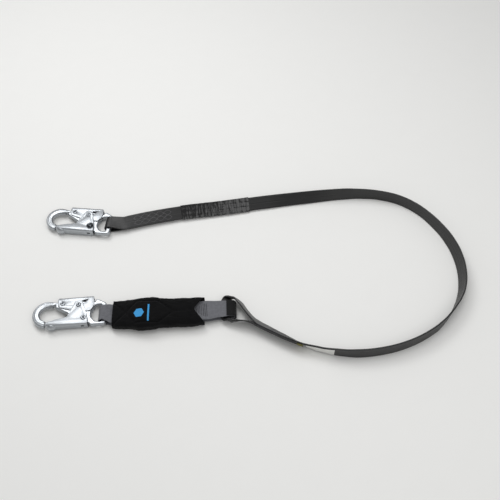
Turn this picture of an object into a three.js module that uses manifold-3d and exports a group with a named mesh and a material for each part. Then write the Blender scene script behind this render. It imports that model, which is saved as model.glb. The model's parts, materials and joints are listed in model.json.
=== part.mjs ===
// A shock absorbing lanyard: a coated webbing strap with a self-closing snap hook at its
// anchor end and, at its harness end, a tear-webbing shock pack with a second snap hook.
// Millimetres, +Z up. The origin is on the floor, under the middle of the hooks and the pack.
import * as THREE from "three";
import { mergeVertices } from "three/addons/utils/BufferGeometryUtils.js";
import Module from "manifold-3d";

const wasm = await Module();
wasm.setup();

// ---------------------------------------------------------------- driving dimensions

const touchGap = 0.3; // between pieces that lie or butt against each other
const runningGap = 0.15; // between a rivet head and the plate that turns under it
const holeGap = 0.3; // radial play of a shaft in its hole

// Snap hook, drawn in its own plane with the gate pivot at 0, 0, the bowl towards -x and
// the lock lever towards +y.
const frameThickness = 9.2;
const frameEdge = 2; // rounding of the forging's edges
const bowlCentre = [-66, 15.5];
const bowlRadius = 21; // to the middle of the bar
const bowlWidth = 12.4;
const bowlHeight = 10.6;
const noseAngle = 262; // degrees round the bowl, where the bar ends
const sheet = 1.6; // pressed steel of the gate and the lever
const sheetBend = 3;
const cheekGap = 0.4; // each side of the frame in the lever and of the lever in the gate
const leverInside = frameThickness + 2 * cheekGap; // free width between the lever's cheeks
const gateInside = leverInside + 2 * sheet + 2 * cheekGap;
const lockPivot = [-39, 34.3];
const lockPin = [-9.7, 28.4];
const gateBack = -12.5; // outer face of the gate's web
const gateTip = -66;
const gateHeel = 7.5;
const leverBack = 46.5; // outer face of the lever's web
const leverEnd = 17.5;
const gateSwing = 20; // degrees
const leverSwing = 9; // degrees, pressed while the gate swings
const rivetRadius = 3;
const pinRadius = 2.6;
const headRadius = 4.6;
const headHeight = 1.2;
const springWire = 1;
const springRadius = 4.6;
const springTurns = 2;
const springPitch = 1.08;
const barCentre = 36; // eye bar, along x
const barWidth = 9.2;
const strapWidth = 27;
const eyeHigh = 29;
const eyeLow = eyeHigh - strapWidth - 10; // room for the strap to lie askew
const eyeFront = 13;
const railWidth = 5.6;

const gateOutside = gateInside + 2 * sheet;
const leverOutside = leverInside + 2 * sheet;
const springHeight = springTurns * springPitch + springWire;
const hookHeight = gateOutside / 2 + runningGap + headHeight; // of the hook's middle plane
const eyeMiddle = (eyeLow + eyeHigh) / 2;

// Where each hook lies: its gate pivot in plan, and how far it is turned.
const anchorHook = { at: [-100.3, 92.1], turn: -5.4 };
const harnessHook = { at: [-83.8, -120], turn: 5 };

// Strap
const strapThickness = 3;
const loopInside = Math.hypot(barWidth, frameThickness) / 2 - 0.4; // round the eye bar
const strapOffset = 4; // of the strap along the anchor hook's eye bar
// The run of the strap: x, y, z of its middle and its lean, 0 lying and 90 standing.
const strapRoute = [
  [-22, 106.5, 13, 24],
  [15, 116.5, 13, 28],
  [55, 125.5, 13, 32],
  [95, 133.5, 12.6, 36],
  [156, 142.7, 12.4, 41],
  [237, 156.7, 12.8, 47],
  [320, 169.3, 13.1, 60],
  [402, 179.3, 13.8, 75],
  [444, 180.5, 13.9, 85],
  [484, 176.2, 13.9, 90],
  [524, 162.6, 13.9, 90],
  [561, 134.4, 13.9, 88],
  [592, 92, 13.9, 82],
  [608, 57.7, 13.8, 76],
  [616, 28, 13.6, 72],
  [619, -4, 13.5, 70],
  [616.5, -35, 13.5, 70],
  [610, -60, 13.6, 72],
  [601, -80, 13.8, 76],
  [589, -99, 13.9, 82],
  [575, -117, 13.9, 86],
  [554, -138, 13.9, 90],
  [518, -161.5, 13.9, 90],
  [480, -177.6, 13.9, 90],
  [444, -186.5, 13.9, 90],
  [408.6, -190.4, 13.9, 90],
  [373.8, -188.5, 13.9, 84],
  [339.3, -181.6, 13.9, 74],
  [304.8, -169.6, 14.3, 62],
  [270, -151.4, 14.6, 53],
  [240, -134, 14.7, 50],
];
const runSteps = 78; // straight stretches of the run; the pieces sewn to it count in them
const anchorTailSteps = 5;
const packTailSteps = 4;
const sleeveSteps = 8;
const tagSteps = 3;
const tailTip = 9; // length of the bound end of the tail at the pack
const bindingShare = 0.8; // of the strap's width and thickness
const tagShare = 0.86; // of the strap's width
const straightLeg = 12; // of a loop at the end of the run, before it turns
const sleeveWall = 0.7;
const tagThickness = 0.6;
const thread = 1;

// Shock pack: its axis starts on the harness hook's eye bar.
const packTurn = 2; // degrees, the way its axis points in plan
const webThickness = 2.5;
const frontInside = loopInside + 0.8; // of the front loop, roomy so the pack can lie askew
const coverFrom = 17; // all from the eye bar, along the pack's axis
const coverTo = 183;
const coverWall = 1.8;
const notchDepth = 20;
const coreWidth = 37;
const coreFrom = 48;
const coreTo = 150;
const coreLayers = 5;
const coreMiddle = 13.9; // height
const rearMiddle = 219; // middle of the strap's bight in the rear loop
const rearHalf = 18; // from there to the inside of the rear loop
const rearInside = 4.6; // half the height inside the rear loop
const rearHeight = 9.4;
const rearSpread = 2; // half the height inside it at the tear webbing
const loopRise = 12; // height of both loops' middles at the tear webbing
const frontKnee = [18, 11.25, 2.75]; // where its legs meet: distance, height, half the gap
const rearKnee = [186, 12, 2];
const stitchRows = 5; // across the rear loop, in the cover's notch
const stitchStep = 3.4;
const stitchHalf = 9.5;
const wearThickness = 1.4;
const wearLength = 17;
const wearWidth = 32;
// The load webbing's edges in plan, from the hook to the tear webbing and on to the strap:
// distance from the eye bar, near edge, far edge.
const frontEdges = [
  [-20, -16.5, 13.5],
  [8, -17, 13.5],
  [17, -21, 12.5],
  [25, -23.5, 13],
  [38, -25, 14.5],
  [60, -25, 14.5],
];
const rearEdges = [
  [140, -24, 14.5],
  [172, -23.5, 16],
  [186, -22.5, 17],
  [200, -20.5, 17],
  [223, -15.5, 15.5],
  [250, -15.5, 15.5],
];
// The cover's sections: distance from the eye bar, half width, half height, middle height
// and how far the middle lies to the far side.
const coverSections = [
  [17, 27.4, 11.3, 11.6, -4.5],
  [25, 28.5, 11.7, 12, -5.5],
  [38, 29, 12.6, 12.9, -6],
  [52, 30, 14, 14.4, -6.8],
  [66, 32.5, 15.2, 15.5, -7.6],
  [78, 33.5, 16, 16.3, -7],
  [90, 32.5, 15.4, 15.7, -6],
  [102, 30, 14.6, 14.9, -6],
  [120, 28.8, 14.2, 14.5, -6],
  [140, 29, 14, 14.3, -5.5],
  [158, 29.3, 13.6, 13.9, -5],
  [172, 29, 12.8, 13.1, -4],
  [183, 28.3, 12, 12.3, -3],
];

// ------------------------------------------------------------------------- materials

const colours = {
  forged: [0xc9ccd0, 0.28, 1],
  pressed: [0xd4d7da, 0.32, 1],
  rivet: [0xbfc2c6, 0.3, 1],
  spring: [0x8d9094, 0.35, 1],
  strap: [0x2b2b2d, 0.45, 0],
  thread: [0x6d6d70, 0.7, 0],
  clear: [0x3a3a3c, 0.12, 0],
  tag: [0xe8e8e4, 0.5, 0],
  olive: [0x6f6a3c, 0.8, 0],
  web: [0x66686c, 0.85, 0],
  tear: [0xb9b4a4, 0.9, 0],
  cover: [0x1c1c1e, 0.9, 0],
  wear: [0x151516, 0.8, 0],
};

function material(key) {
  const [color, roughness, metalness] = colours[key];
  return new THREE.MeshStandardMaterial({ color, roughness, metalness });
}

// -------------------------------------------------------------------------- geometry

function toSolid(geometry) {
  const bare = geometry.clone();
  bare.deleteAttribute("normal");
  bare.deleteAttribute("uv");
  const merged = mergeVertices(bare, 1e-4);
  return new wasm.Manifold(
    new wasm.Mesh({
      numProp: 3,
      vertProperties: new Float32Array(merged.attributes.position.array),
      triVerts: new Uint32Array(merged.index.array),
    }),
  );
}

function toGeometry(solid) {
  const mesh = solid.getMesh();
  const geometry = new THREE.BufferGeometry();
  geometry.setAttribute("position", new THREE.BufferAttribute(mesh.vertProperties, 3));
  geometry.setIndex(new THREE.BufferAttribute(mesh.triVerts, 1));
  geometry.computeVertexNormals();
  return geometry;
}

function join(...geometries) {
  return toGeometry(geometries.map(toSolid).reduce((all, next) => all.add(next)));
}

function cut(geometry, ...tools) {
  return toGeometry(
    tools.map(toSolid).reduce((left, tool) => left.subtract(tool), toSolid(geometry)),
  );
}

function common(a, b) {
  return toGeometry(toSolid(a).intersect(toSolid(b)));
}

const radians = THREE.MathUtils.degToRad;

function arcPoints([x, y], radius, from, to, steps) {
  return Array.from({ length: steps + 1 }, (_, i) => {
    const angle = radians(from + ((to - from) * i) / steps);
    return new THREE.Vector2(x + radius * Math.cos(angle), y + radius * Math.sin(angle));
  });
}

// A closed outline from corners [x, y, radius]; a corner with no radius stays sharp.
function rounded(corners, steps = 3) {
  const points = [];
  corners.forEach(([x, y, radius = 0], i) => {
    const here = new THREE.Vector2(x, y);
    if (!radius) {
      points.push(here);
      return;
    }
    const [px, py] = corners[(i + corners.length - 1) % corners.length];
    const [nx, ny] = corners[(i + 1) % corners.length];
    const back = new THREE.Vector2(px, py).sub(here).normalize();
    const on = new THREE.Vector2(nx, ny).sub(here).normalize();
    const half = Math.acos(THREE.MathUtils.clamp(back.dot(on), -1, 1)) / 2;
    const reach = radius / Math.tan(half);
    const start = here.clone().addScaledVector(back, reach);
    const end = here.clone().addScaledVector(on, reach);
    const curve = new THREE.QuadraticBezierCurve(start, here, end);
    points.push(...curve.getPoints(steps));
  });
  return points;
}

function slab(points, low, high) {
  const shape = new THREE.Shape(points);
  const geometry = new THREE.ExtrudeGeometry(shape, { depth: high - low, bevelEnabled: false });
  return geometry.translate(0, 0, low);
}

function block(low, high) {
  const size = high.map((value, i) => value - low[i]);
  const middle = high.map((value, i) => (value + low[i]) / 2);
  return new THREE.BoxGeometry(...size).translate(...middle);
}

function drum([x, y], radius, low, high, sides = 16) {
  return new THREE.CylinderGeometry(radius, radius, high - low, sides)
    .rotateX(Math.PI / 2)
    .translate(x, y, (low + high) / 2);
}

// A stretch of a spine, swept with a chosen width direction. A section's x lies along the
// width and its y along the face's normal.
class Ribbon extends THREE.Curve {
  constructor(points, widthAt, from = 0, to = 1) {
    super();
    this.spine = new THREE.CatmullRomCurve3(points, false, "centripetal");
    this.widthAt = widthAt;
    this.from = from;
    this.to = to;
  }

  along(t) {
    return THREE.MathUtils.clamp(this.from + (this.to - this.from) * t, 0, 1);
  }

  getPoint(t, target = new THREE.Vector3()) {
    return target.copy(this.spine.getPointAt(this.along(t)));
  }

  frameAt(t) {
    const u = this.along(t);
    const tangent = this.spine.getTangentAt(u).normalize();
    const width = this.widthAt(u, tangent);
    width.addScaledVector(tangent, -width.dot(tangent)).normalize();
    const normal = new THREE.Vector3().crossVectors(tangent, width);
    return { tangent, width, normal };
  }

  // The spine is already walked by length.
  getPointAt(u, target) {
    return this.getPoint(u, target);
  }

  computeFrenetFrames(segments) {
    const frames = Array.from({ length: segments + 1 }, (_, i) => this.frameAt(i / segments));
    return {
      tangents: frames.map((f) => f.tangent),
      normals: frames.map((f) => f.width),
      binormals: frames.map((f) => f.normal),
    };
  }
}

function sweep(points, path, steps) {
  return new THREE.ExtrudeGeometry(new THREE.Shape(points), {
    steps,
    bevelEnabled: false,
    extrudePath: path,
  });
}

// A webbing section with eased edges, its middle at height y over the spine.
function webSection(width, thickness, y = 0) {
  const w = width / 2;
  const t = thickness / 2;
  const ease = thickness / 4;
  return rounded(
    [
      [-w, y - t, ease],
      [0, y - t],
      [w, y - t, ease],
      [w, y + t, ease],
      [0, y + t],
      [-w, y + t, ease],
    ],
    1,
  );
}

// Turns a circle's sine or cosine into a boxier one: 1 leaves it round, less squares it.
function squared(value, power) {
  return Math.abs(value) < 1e-9 ? 0 : Math.sign(value) * Math.abs(value) ** power;
}

function roundSection(radius, sides, x = 0, y = 0) {
  return arcPoints([x, y], radius, 0, 360 - 360 / sides, sides - 1);
}

// Smooth blend of a list of vectors at u from 0 to 1.
function blendVectors(vectors, u) {
  const place = u * (vectors.length - 1);
  const i = Math.min(Math.floor(place), vectors.length - 2);
  return vectors[i].clone().lerp(vectors[i + 1], place - i);
}

// ------------------------------------------------------------------------- snap hook

function hookFrame() {
  const outer = bowlRadius + bowlWidth / 2;
  const inner = bowlRadius - bowlWidth / 2;
  const [cx, cy] = bowlCentre;
  const back = cy + outer;
  const barOuter = barCentre + barWidth / 2;
  const barInner = barCentre - barWidth / 2;
  const leverDrop = (x) => (x - lockPivot[0]) * Math.sin(radians(leverSwing));
  const ridge = (x) => leverBack - sheet - 4 * touchGap - leverDrop(x);
  const bowlStart = noseAngle - 4;
  const outline = [
    ...rounded([
      [-55, 29.4, 5],
      [-31, 14.6, 9],
      [-9.5, -2.5, 6],
      [-6, gateBack + sheet + 2.4, 3],
      [gateHeel + 1, gateBack + sheet + 1.4, 3],
      [gateHeel + 5.5, eyeLow - railWidth, 3],
      [barOuter, eyeLow - railWidth, 8],
      [barOuter, eyeHigh + 2.4, 6],
      [leverEnd + 4.2, 42.6, 3],
      [leverEnd + 2.6, ridge(leverEnd) + 0.6, 2.6],
      [0, ridge(0), 6],
      [-20, ridge(-20), 6],
      [-46, back, 8],
    ]),
    ...arcPoints(bowlCentre, outer, 92, bowlStart, 12),
    ...arcPoints(bowlCentre, inner, bowlStart, 96, 9),
  ];
  const eye = rounded([
    [barInner, eyeHigh, 2.6],
    [barInner, eyeLow, 2.6],
    [21, eyeLow + 1.4, 7],
    [eyeFront, 3.5, 7],
    [eyeFront, 20, 7],
    [20, eyeHigh - 0.6, 7],
  ]).reverse();
  const shape = new THREE.Shape(outline);
  shape.holes.push(new THREE.Path(eye));
  const depth = frameThickness - 2 * frameEdge;
  const body = new THREE.ExtrudeGeometry(shape, {
    depth,
    bevelThickness: frameEdge,
    bevelSize: frameEdge,
    bevelOffset: -frameEdge,
    bevelSegments: 2,
  }).translate(0, 0, -depth / 2);
  const bowlLine = arcPoints(bowlCentre, bowlRadius, noseAngle, 96, 12);
  const bowlPoints = [...bowlLine, new THREE.Vector2(cx + 9, cy + bowlRadius - 0.6)];
  const up = new THREE.Vector3(0, 0, 1);
  const bar = sweep(
    arcPoints([0, 0], 1, 0, 324, 9).map(
      (p) => new THREE.Vector2((p.x * bowlHeight) / 2, (p.y * bowlWidth) / 2),
    ),
    new Ribbon(
      bowlPoints.map((p) => new THREE.Vector3(p.x, p.y, 0)),
      () => up.clone(),
    ),
    16,
  );
  const through = frameThickness;
  const swing = arcPoints(
    [0, 0],
    Math.hypot(...lockPin),
    THREE.MathUtils.radToDeg(Math.atan2(lockPin[1], lockPin[0])),
    THREE.MathUtils.radToDeg(Math.atan2(lockPin[1], lockPin[0])) - gateSwing,
    4,
  );
  const slotRadius = pinRadius + holeGap;
  const pinSlot = swing.map((p) => drum([p.x, p.y], slotRadius + 0.15, -through, through, 12));
  const pocketRadius = springRadius + springWire / 2 + 2 * touchGap;
  const pockets = [
    drum([0, 0], pocketRadius, springFloor(gateInside) - touchGap, through),
    drum(lockPivot, pocketRadius, springFloor(leverInside) - touchGap, through),
  ];
  const legSlot = block(
    [
      lockPivot[0] + springRadius - springWire,
      lockPivot[1],
      leverInside / 2 - springWire - 3 * touchGap,
    ],
    [lockPivot[0] + springRadius + springWire, back + 3, through],
  );
  return cut(
    join(body, bar),
    drum([0, 0], rivetRadius + holeGap, -through, through),
    drum(lockPivot, rivetRadius + holeGap, -through, through),
    ...pinSlot,
    ...pockets,
    legSlot,
  );
}

// A U-channel: an outline with both cheeks and one web, its bends rounded. The web's outer
// face is at y = back, and side says which way its open side looks.
function channel(outline, outside, back, side, cavity) {
  const blank = slab(outline, -outside / 2, outside / 2);
  const deep = back + side * 100;
  const half = outside / 2;
  const profile = rounded([
    [back, -half, sheetBend],
    [back, half, sheetBend],
    [deep, half],
    [deep, -half],
  ]);
  if (side > 0) profile.reverse();
  const bar = slab(profile, -200, 200)
    .rotateX(Math.PI / 2)
    .rotateZ(Math.PI / 2);
  return cut(common(blank, bar), block(...cavity));
}

function gate() {
  const half = gateInside / 2;
  const outline = rounded([
    [-15.6, 36.9, 6],
    [-29.8, 3.4, 4],
    [-45, 0.9, 6],
    [gateTip, -4.8, 2],
    [gateTip, gateBack, 1],
    [gateHeel, gateBack, 2],
    [gateHeel, 0, 4],
    [5.2, 9, 6],
    [-3.2, 36.9, 6],
  ]);
  const shell = channel(outline, gateOutside, gateBack, 1, [
    [gateTip + sheet, gateBack + sheet, -half],
    [gateHeel + 5, 60, half],
  ]);
  const toe = new THREE.SphereGeometry(1, 12, 8)
    .scale(9, 4.2, gateOutside / 2)
    .translate(gateTip + 9, gateBack + 0.4, 0);
  const toeOutside = cut(
    toe,
    block([gateTip - 20, gateBack + sheet, -20], [gateTip + 40, gateBack + 20, 20]),
  );
  const through = gateOutside;
  return cut(
    join(shell, toeOutside),
    drum([0, 0], rivetRadius + holeGap, -through, through),
    drum(lockPin, pinRadius + holeGap, -through, through),
    block([-4.5, gateBack - 2, -1.8], [1, gateBack + sheet + 1, 1.8]),
  );
}

function lockLever() {
  const half = leverInside / 2;
  const outline = rounded([
    [-48, leverBack, 6],
    [-48.2, 27.6, 7],
    [-22, 18.8, 6],
    [-4, 15.6, 6],
    [11.5, 15.6, 6],
    [leverEnd + 0.6, 27, 8],
    [leverEnd, leverBack, 3],
  ]);
  const shell = channel(outline, leverOutside, leverBack, -1, [
    [-60, 0, -half],
    [leverEnd + 5, leverBack - sheet, half],
  ]);
  // The pin's way through the cheeks while the gate swings and the lever is pressed.
  const radius = pinRadius + holeGap + 0.15;
  const stops = 6;
  const way = Array.from({ length: stops + 1 }, (_, i) => {
    const share = i / stops;
    const pin = new THREE.Vector2(...lockPin)
      .rotateAround(new THREE.Vector2(), -radians(gateSwing) * share)
      .rotateAround(new THREE.Vector2(...lockPivot), radians(leverSwing) * share);
    return drum([pin.x, pin.y], radius, -leverOutside, leverOutside, 12);
  });
  const window = slab(
    rounded([
      [-5, 38.5, 0.8],
      [1, 33.5, 0.8],
      [10, 41.2, 0.8],
    ]),
    -leverOutside,
    leverOutside,
  );
  const grips = [4, 7, 10, 13].map((x) =>
    block([x, leverBack - 0.4, -half], [x + 1, leverBack + 0.7, half]),
  );
  return join(
    cut(
      shell,
      drum(lockPivot, rivetRadius + holeGap, -leverOutside, leverOutside),
      ...way,
      window,
    ),
    ...grips,
  );
}

// A rivet or pin with a domed head at each end, through plates that are grip apart outside.
function rivet(place, radius, grip) {
  const face = grip / 2 + runningGap;
  const dome = headHeight;
  const half = [
    [0, face + dome],
    [headRadius * 0.55, face + dome * 0.86],
    [headRadius * 0.85, face + dome * 0.5],
    [headRadius, face],
    [radius, face],
  ];
  const profile = [...half.map(([r, z]) => [r, -z]), ...half.reverse()];
  return new THREE.LatheGeometry(
    profile.map(([r, z]) => new THREE.Vector2(r, z)),
    14,
  )
    .rotateX(Math.PI / 2)
    .translate(place[0], place[1], 0);
}

// Underside of a torsion spring that lies against a cheek's inner face.
function springFloor(inside) {
  return inside / 2 - touchGap - springHeight;
}

// A torsion spring round a pivot: the coil, with one leg along its first tangent and one
// along its last.
function torsionSpring(place, low, firstLeg, lastLeg, startAngle) {
  const perTurn = 8;
  const count = springTurns * perTurn;
  const pitch = springPitch;
  const start = radians(startAngle);
  const coil = Array.from({ length: count + 1 }, (_, i) => {
    const angle = start + (2 * Math.PI * i) / perTurn;
    return new THREE.Vector3(
      place[0] + springRadius * Math.cos(angle),
      place[1] + springRadius * Math.sin(angle),
      low + springWire / 2 + (pitch * i) / perTurn,
    );
  });
  const tangent = (angle) => new THREE.Vector3(-Math.sin(angle), Math.cos(angle), 0);
  const first = coil[0].clone().addScaledVector(tangent(start), -firstLeg);
  const last = coil[count].clone().addScaledVector(tangent(start), lastLeg);
  const up = new THREE.Vector3(0, 0, 1);
  return sweep(
    roundSection(springWire / 2, 5),
    new Ribbon([first, ...coil, last], () => up.clone()),
    24,
  );
}

const hookPieces = [
  ["hook_frame", hookFrame(), "forged"],
  ["gate", gate(), "pressed"],
  ["lock_lever", lockLever(), "pressed"],
  ["gate_rivet", rivet([0, 0], rivetRadius, gateOutside), "rivet"],
  ["lock_rivet", rivet(lockPivot, rivetRadius, leverOutside), "rivet"],
  ["lock_pin", rivet(lockPin, pinRadius, gateOutside), "rivet"],
  ["gate_spring", torsionSpring([0, 0], springFloor(gateInside), 1, 9, 90), "spring"],
  [
    "lock_spring",
    torsionSpring(lockPivot, springFloor(leverInside), 1, 8, 0),
    "spring",
  ],
];

function snapHook(prefix, { at, turn }) {
  const hook = new THREE.Group();
  hook.position.set(at[0], at[1], hookHeight);
  hook.rotation.z = radians(turn);
  hookPieces.forEach(([name, geometry, key]) => {
    const mesh = new THREE.Mesh(geometry, material(key));
    mesh.name = prefix + "_" + name;
    hook.add(mesh);
  });
  return hook;
}

// A point and a direction of a hook's plane, in the object's frame.
function hookPoint({ at, turn }, [x, y], z = 0) {
  return new THREE.Vector3(x, y, z)
    .applyAxisAngle(new THREE.Vector3(0, 0, 1), radians(turn))
    .add(new THREE.Vector3(at[0], at[1], hookHeight));
}

function hookDirection({ turn }, x, y) {
  return new THREE.Vector3(x, y, 0).applyAxisAngle(new THREE.Vector3(0, 0, 1), radians(turn));
}

// ----------------------------------------------------------------------------- strap

function strapSpine() {
  return strapRoute.map(([x, y, z]) => new THREE.Vector3(x, y, z));
}

// The run's width direction: level and outward when it lies, upright when it stands.
const routeMarks = (() => {
  const curve = new THREE.CatmullRomCurve3(strapSpine(), false, "centripetal");
  const total = curve.getLength();
  const marks = [0];
  const steps = 40;
  for (let i = 1; i < strapRoute.length; i++) {
    let stretch = 0;
    let last = curve.getPoint((i - 1) / (strapRoute.length - 1));
    for (let k = 1; k <= steps; k++) {
      const next = curve.getPoint((i - 1 + k / steps) / (strapRoute.length - 1));
      stretch += next.distanceTo(last);
      last = next;
    }
    marks.push(marks[i - 1] + stretch / total);
  }
  return { marks, total };
})();

function leanAt(u) {
  const { marks } = routeMarks;
  let i = 0;
  while (i < marks.length - 2 && marks[i + 1] < u) i++;
  const share = THREE.MathUtils.clamp((u - marks[i]) / (marks[i + 1] - marks[i]), 0, 1);
  const smooth = share * share * (3 - 2 * share);
  return strapRoute[i][3] + (strapRoute[i + 1][3] - strapRoute[i][3]) * smooth;
}

function runWidth(u, tangent) {
  const lean = radians(leanAt(u));
  const left = new THREE.Vector3(-tangent.y, tangent.x, 0).normalize();
  return left.multiplyScalar(Math.cos(lean)).add(new THREE.Vector3(0, 0, Math.sin(lean)));
}

// The run between two of its steps.
function runStretch(from, to) {
  return new Ribbon(strapSpine(), runWidth, from / runSteps, to / runSteps);
}

// The faces of the run's stretches: the frame at a whole step, and a point in between.
const runFrames = (() => {
  const whole = runStretch(0, runSteps);
  return Array.from({ length: runSteps + 1 }, (_, i) => {
    const t = i / runSteps;
    return { middle: whole.getPoint(t), ...whole.frameAt(t) };
  });
})();

function onRun(step, across, height) {
  const i = Math.min(Math.floor(step), runSteps - 1);
  const [here, next] = [runFrames[i], runFrames[i + 1]].map(({ middle, width, normal }) =>
    middle.clone().addScaledVector(width, across).addScaledVector(normal, height),
  );
  return here.lerp(next, step - i);
}

const layer = strapThickness + touchGap;
const tailEnd = runSteps - packTailSteps;

function strapWebbing() {
  return sweep(webSection(strapWidth, strapThickness), runStretch(0, runSteps), runSteps);
}

function tailWeb(from, to) {
  return sweep(webSection(strapWidth, strapThickness, -layer), runStretch(from, to), to - from);
}

function tailBinding() {
  const step = routeMarks.total / runSteps;
  const gap = tailEnd - touchGap / step;
  const stretch = runStretch(gap - tailTip / step, gap);
  const section = webSection(strapWidth * bindingShare, strapThickness * bindingShare, -layer);
  return sweep(section, stretch, 1);
}

function clearSleeve() {
  const inside = 2 * touchGap;
  const outside = inside + 2 * sleeveWall;
  const shape = new THREE.Shape(webSection(strapWidth + outside, strapThickness + outside));
  const bore = webSection(strapWidth + inside, strapThickness + inside);
  shape.holes.push(new THREE.Path(bore.reverse()));
  return new THREE.ExtrudeGeometry(shape, {
    steps: sleeveSteps,
    bevelEnabled: false,
    extrudePath: runStretch(anchorTailSteps + 1, anchorTailSteps + 1 + sleeveSteps),
  });
}

function whiteTag() {
  const end = tailEnd - 1;
  const height = -(strapThickness + tagThickness) / 2 - touchGap;
  return sweep(
    webSection(strapWidth * tagShare, tagThickness, height),
    runStretch(end - tagSteps, end),
    tagSteps,
  );
}

// Two threads that weave across each other along the run make a chain of ovals; ties at
// the ends hold the rows together.
function stitchBlock(from, to, ovals, rows) {
  const height = strapThickness / 2 + touchGap + thread / 2;
  const rowPitch = strapWidth / (rows + 0.6);
  const reach = rowPitch * 0.44;
  const steps = ovals * 4;
  const face = runFrames[Math.round((from + to) / 2)].normal;
  const line = (points, count) =>
    sweep(roundSection(thread / 2, 4), new Ribbon(points, () => face.clone()), count);
  const pieces = [];
  for (let row = 0; row < rows; row++) {
    const middle = (row - (rows - 1) / 2) * rowPitch;
    for (const side of [1, -1]) {
      const wave = Array.from({ length: steps + 1 }, (_, i) => {
        const t = i / steps;
        const across = middle + side * reach * Math.sin(Math.PI * ovals * t);
        return onRun(from + (to - from) * t, across, height);
      });
      pieces.push(line(wave, steps));
    }
  }
  const half = ((rows - 1) / 2) * rowPitch + reach;
  for (const step of [from + 0.04, to - 0.04]) {
    pieces.push(line([onRun(step, -half, height), onRun(step, half, height)], 1));
  }
  return join(...pieces);
}

// The loop round the anchor hook's eye bar: its upper leg meets the run's end and its
// lower leg meets the turned-back tail's.
function anchorLoop() {
  const centre = hookPoint(anchorHook, [barCentre, eyeMiddle + strapOffset]);
  const out = hookDirection(anchorHook, 1, 0);
  const axis = hookDirection(anchorHook, 0, 1);
  const radius = loopInside + strapThickness / 2;
  const { middle, tangent, width, normal } = runFrames[0];
  const top = middle.clone().addScaledVector(tangent, -touchGap);
  const low = top.clone().addScaledVector(normal, -layer);
  const round = Array.from({ length: 9 }, (_, i) => {
    const angle = radians(90 + (180 * i) / 8);
    return centre
      .clone()
      .addScaledVector(out, radius * Math.cos(angle))
      .add(new THREE.Vector3(0, 0, radius * Math.sin(angle)));
  });
  const before = (end, reach) => end.clone().addScaledVector(tangent, -reach);
  const points = [
    top,
    before(top, straightLeg / 2),
    before(top, straightLeg),
    ...round,
    before(low, straightLeg),
    before(low, straightLeg / 2),
    low,
  ];
  const path = new Ribbon(points, (u) => {
    const share = THREE.MathUtils.smoothstep(Math.abs(u - 0.5), 0.16, 0.5);
    return width.clone().lerp(axis, 1 - share);
  });
  return sweep(webSection(strapWidth, strapThickness), path, 44);
}

// A closed band along a path whose width and thickness change on the way.
function softBand(path, steps, sizeAt) {
  const geometry = new THREE.CylinderGeometry(1, 1, 1, 12, steps);
  const position = geometry.attributes.position;
  const place = new THREE.Vector3();
  for (let i = 0; i < position.count; i++) {
    place.fromBufferAttribute(position, i);
    const t = place.y + 0.5;
    const radius = Math.hypot(place.x, place.z);
    const angle = Math.atan2(place.z, place.x);
    const [wide, thick] = sizeAt(t);
    const { width, normal } = path.frameAt(t);
    path
      .getPoint(t)
      .addScaledVector(width, (radius * squared(Math.cos(angle), 0.35) * wide) / 2)
      .addScaledVector(normal, (-radius * squared(Math.sin(angle), 0.35) * thick) / 2)
      .toArray(position.array, i * 3);
  }
  return geometry;
}

// The loop through the pack's rear loop. From the end of the run it goes on edge to the far
// corner of the rear loop, is gathered where it turns in, passes through lying flat, and is
// gathered again where it turns back to the end of the tail. Each mark holds how far it is
// ahead of the bight and to the far side, its height, the way its width points, and its
// width and thickness.
const packLoopMarks = [
  [50, -20.5, 14.6, [0, -0.58, 0.81], 27, 3],
  [38.5, -4, 14.8, [0, -0.55, 0.83], 26, 3],
  [29, 11, 15.2, [-0.1, -0.5, 0.85], 24, 3.2],
  [20, 21, 15.2, [-0.3, -0.3, 0.85], 19, 3.6],
  [10.5, 24, 13.2, [-0.75, -0.2, 0.6], 17, 4],
  [4.5, 20.5, 10.2, [-1, 0, 0.15], 18, 3.6],
  [3.5, 12, 9.4, [-1, 0, 0], 25, 3],
  [3.5, 0, 9.4, [-1, 0, 0], 27, 3],
  [3.5, -12, 9.4, [-1, 0, 0], 25, 3],
  [4.5, -18.5, 9.6, [-1, 0, 0.15], 18, 3.6],
  [9.5, -23.3, 11, [-0.6, -0.1, 0.75], 14, 4.4],
  [18, -24.5, 12.4, [0, -0.45, 0.88], 18, 4],
  [31, -25.5, 13.2, [0, -0.52, 0.85], 25, 3],
  [44, -28.5, 13.9, [0, -0.55, 0.83], 27, 3],
];

function packLoop() {
  const { middle, tangent, width, normal } = runFrames[runSteps];
  const main = middle.clone().addScaledVector(tangent, touchGap);
  const tail = main.clone().addScaledVector(normal, -layer);
  const ahead = (end, reach) => end.clone().addScaledVector(tangent, reach);
  const turned = ([x, y, z]) => packDirection(x, y).setZ(z);
  const points = [
    main,
    ahead(main, straightLeg / 2),
    ...packLoopMarks.map(([x, y, z]) => packPoint(rearMiddle + x, y, z)),
    ahead(tail, straightLeg / 2),
    tail,
  ];
  const across = packLoopMarks.map((mark) => turned(mark[3]));
  const widths = [width, width, ...across, width, width];
  const whole = new THREE.Vector3(strapWidth, strapThickness, 0);
  const gathered = packLoopMarks.map((mark) => new THREE.Vector3(mark[4], mark[5], 0));
  const sizes = [whole, whole, ...gathered, whole, whole];
  const curve = new THREE.CatmullRomCurve3(points, false, "centripetal");
  const path = new Ribbon(points, (u) => blendVectors(widths, curve.getUtoTmapping(u)));
  return softBand(path, 46, (t) => {
    const size = blendVectors(sizes, curve.getUtoTmapping(t));
    return [size.x, size.y];
  });
}

// ------------------------------------------------------------------------ shock pack

const packOrigin = hookPoint(harnessHook, [barCentre, eyeMiddle]);

function packDirection(x, y) {
  return new THREE.Vector3(x, y, 0).applyAxisAngle(new THREE.Vector3(0, 0, 1), radians(packTurn));
}

function packPoint(x, y, z) {
  return packDirection(x, y)
    .add(packOrigin)
    .setZ(z);
}

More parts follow.
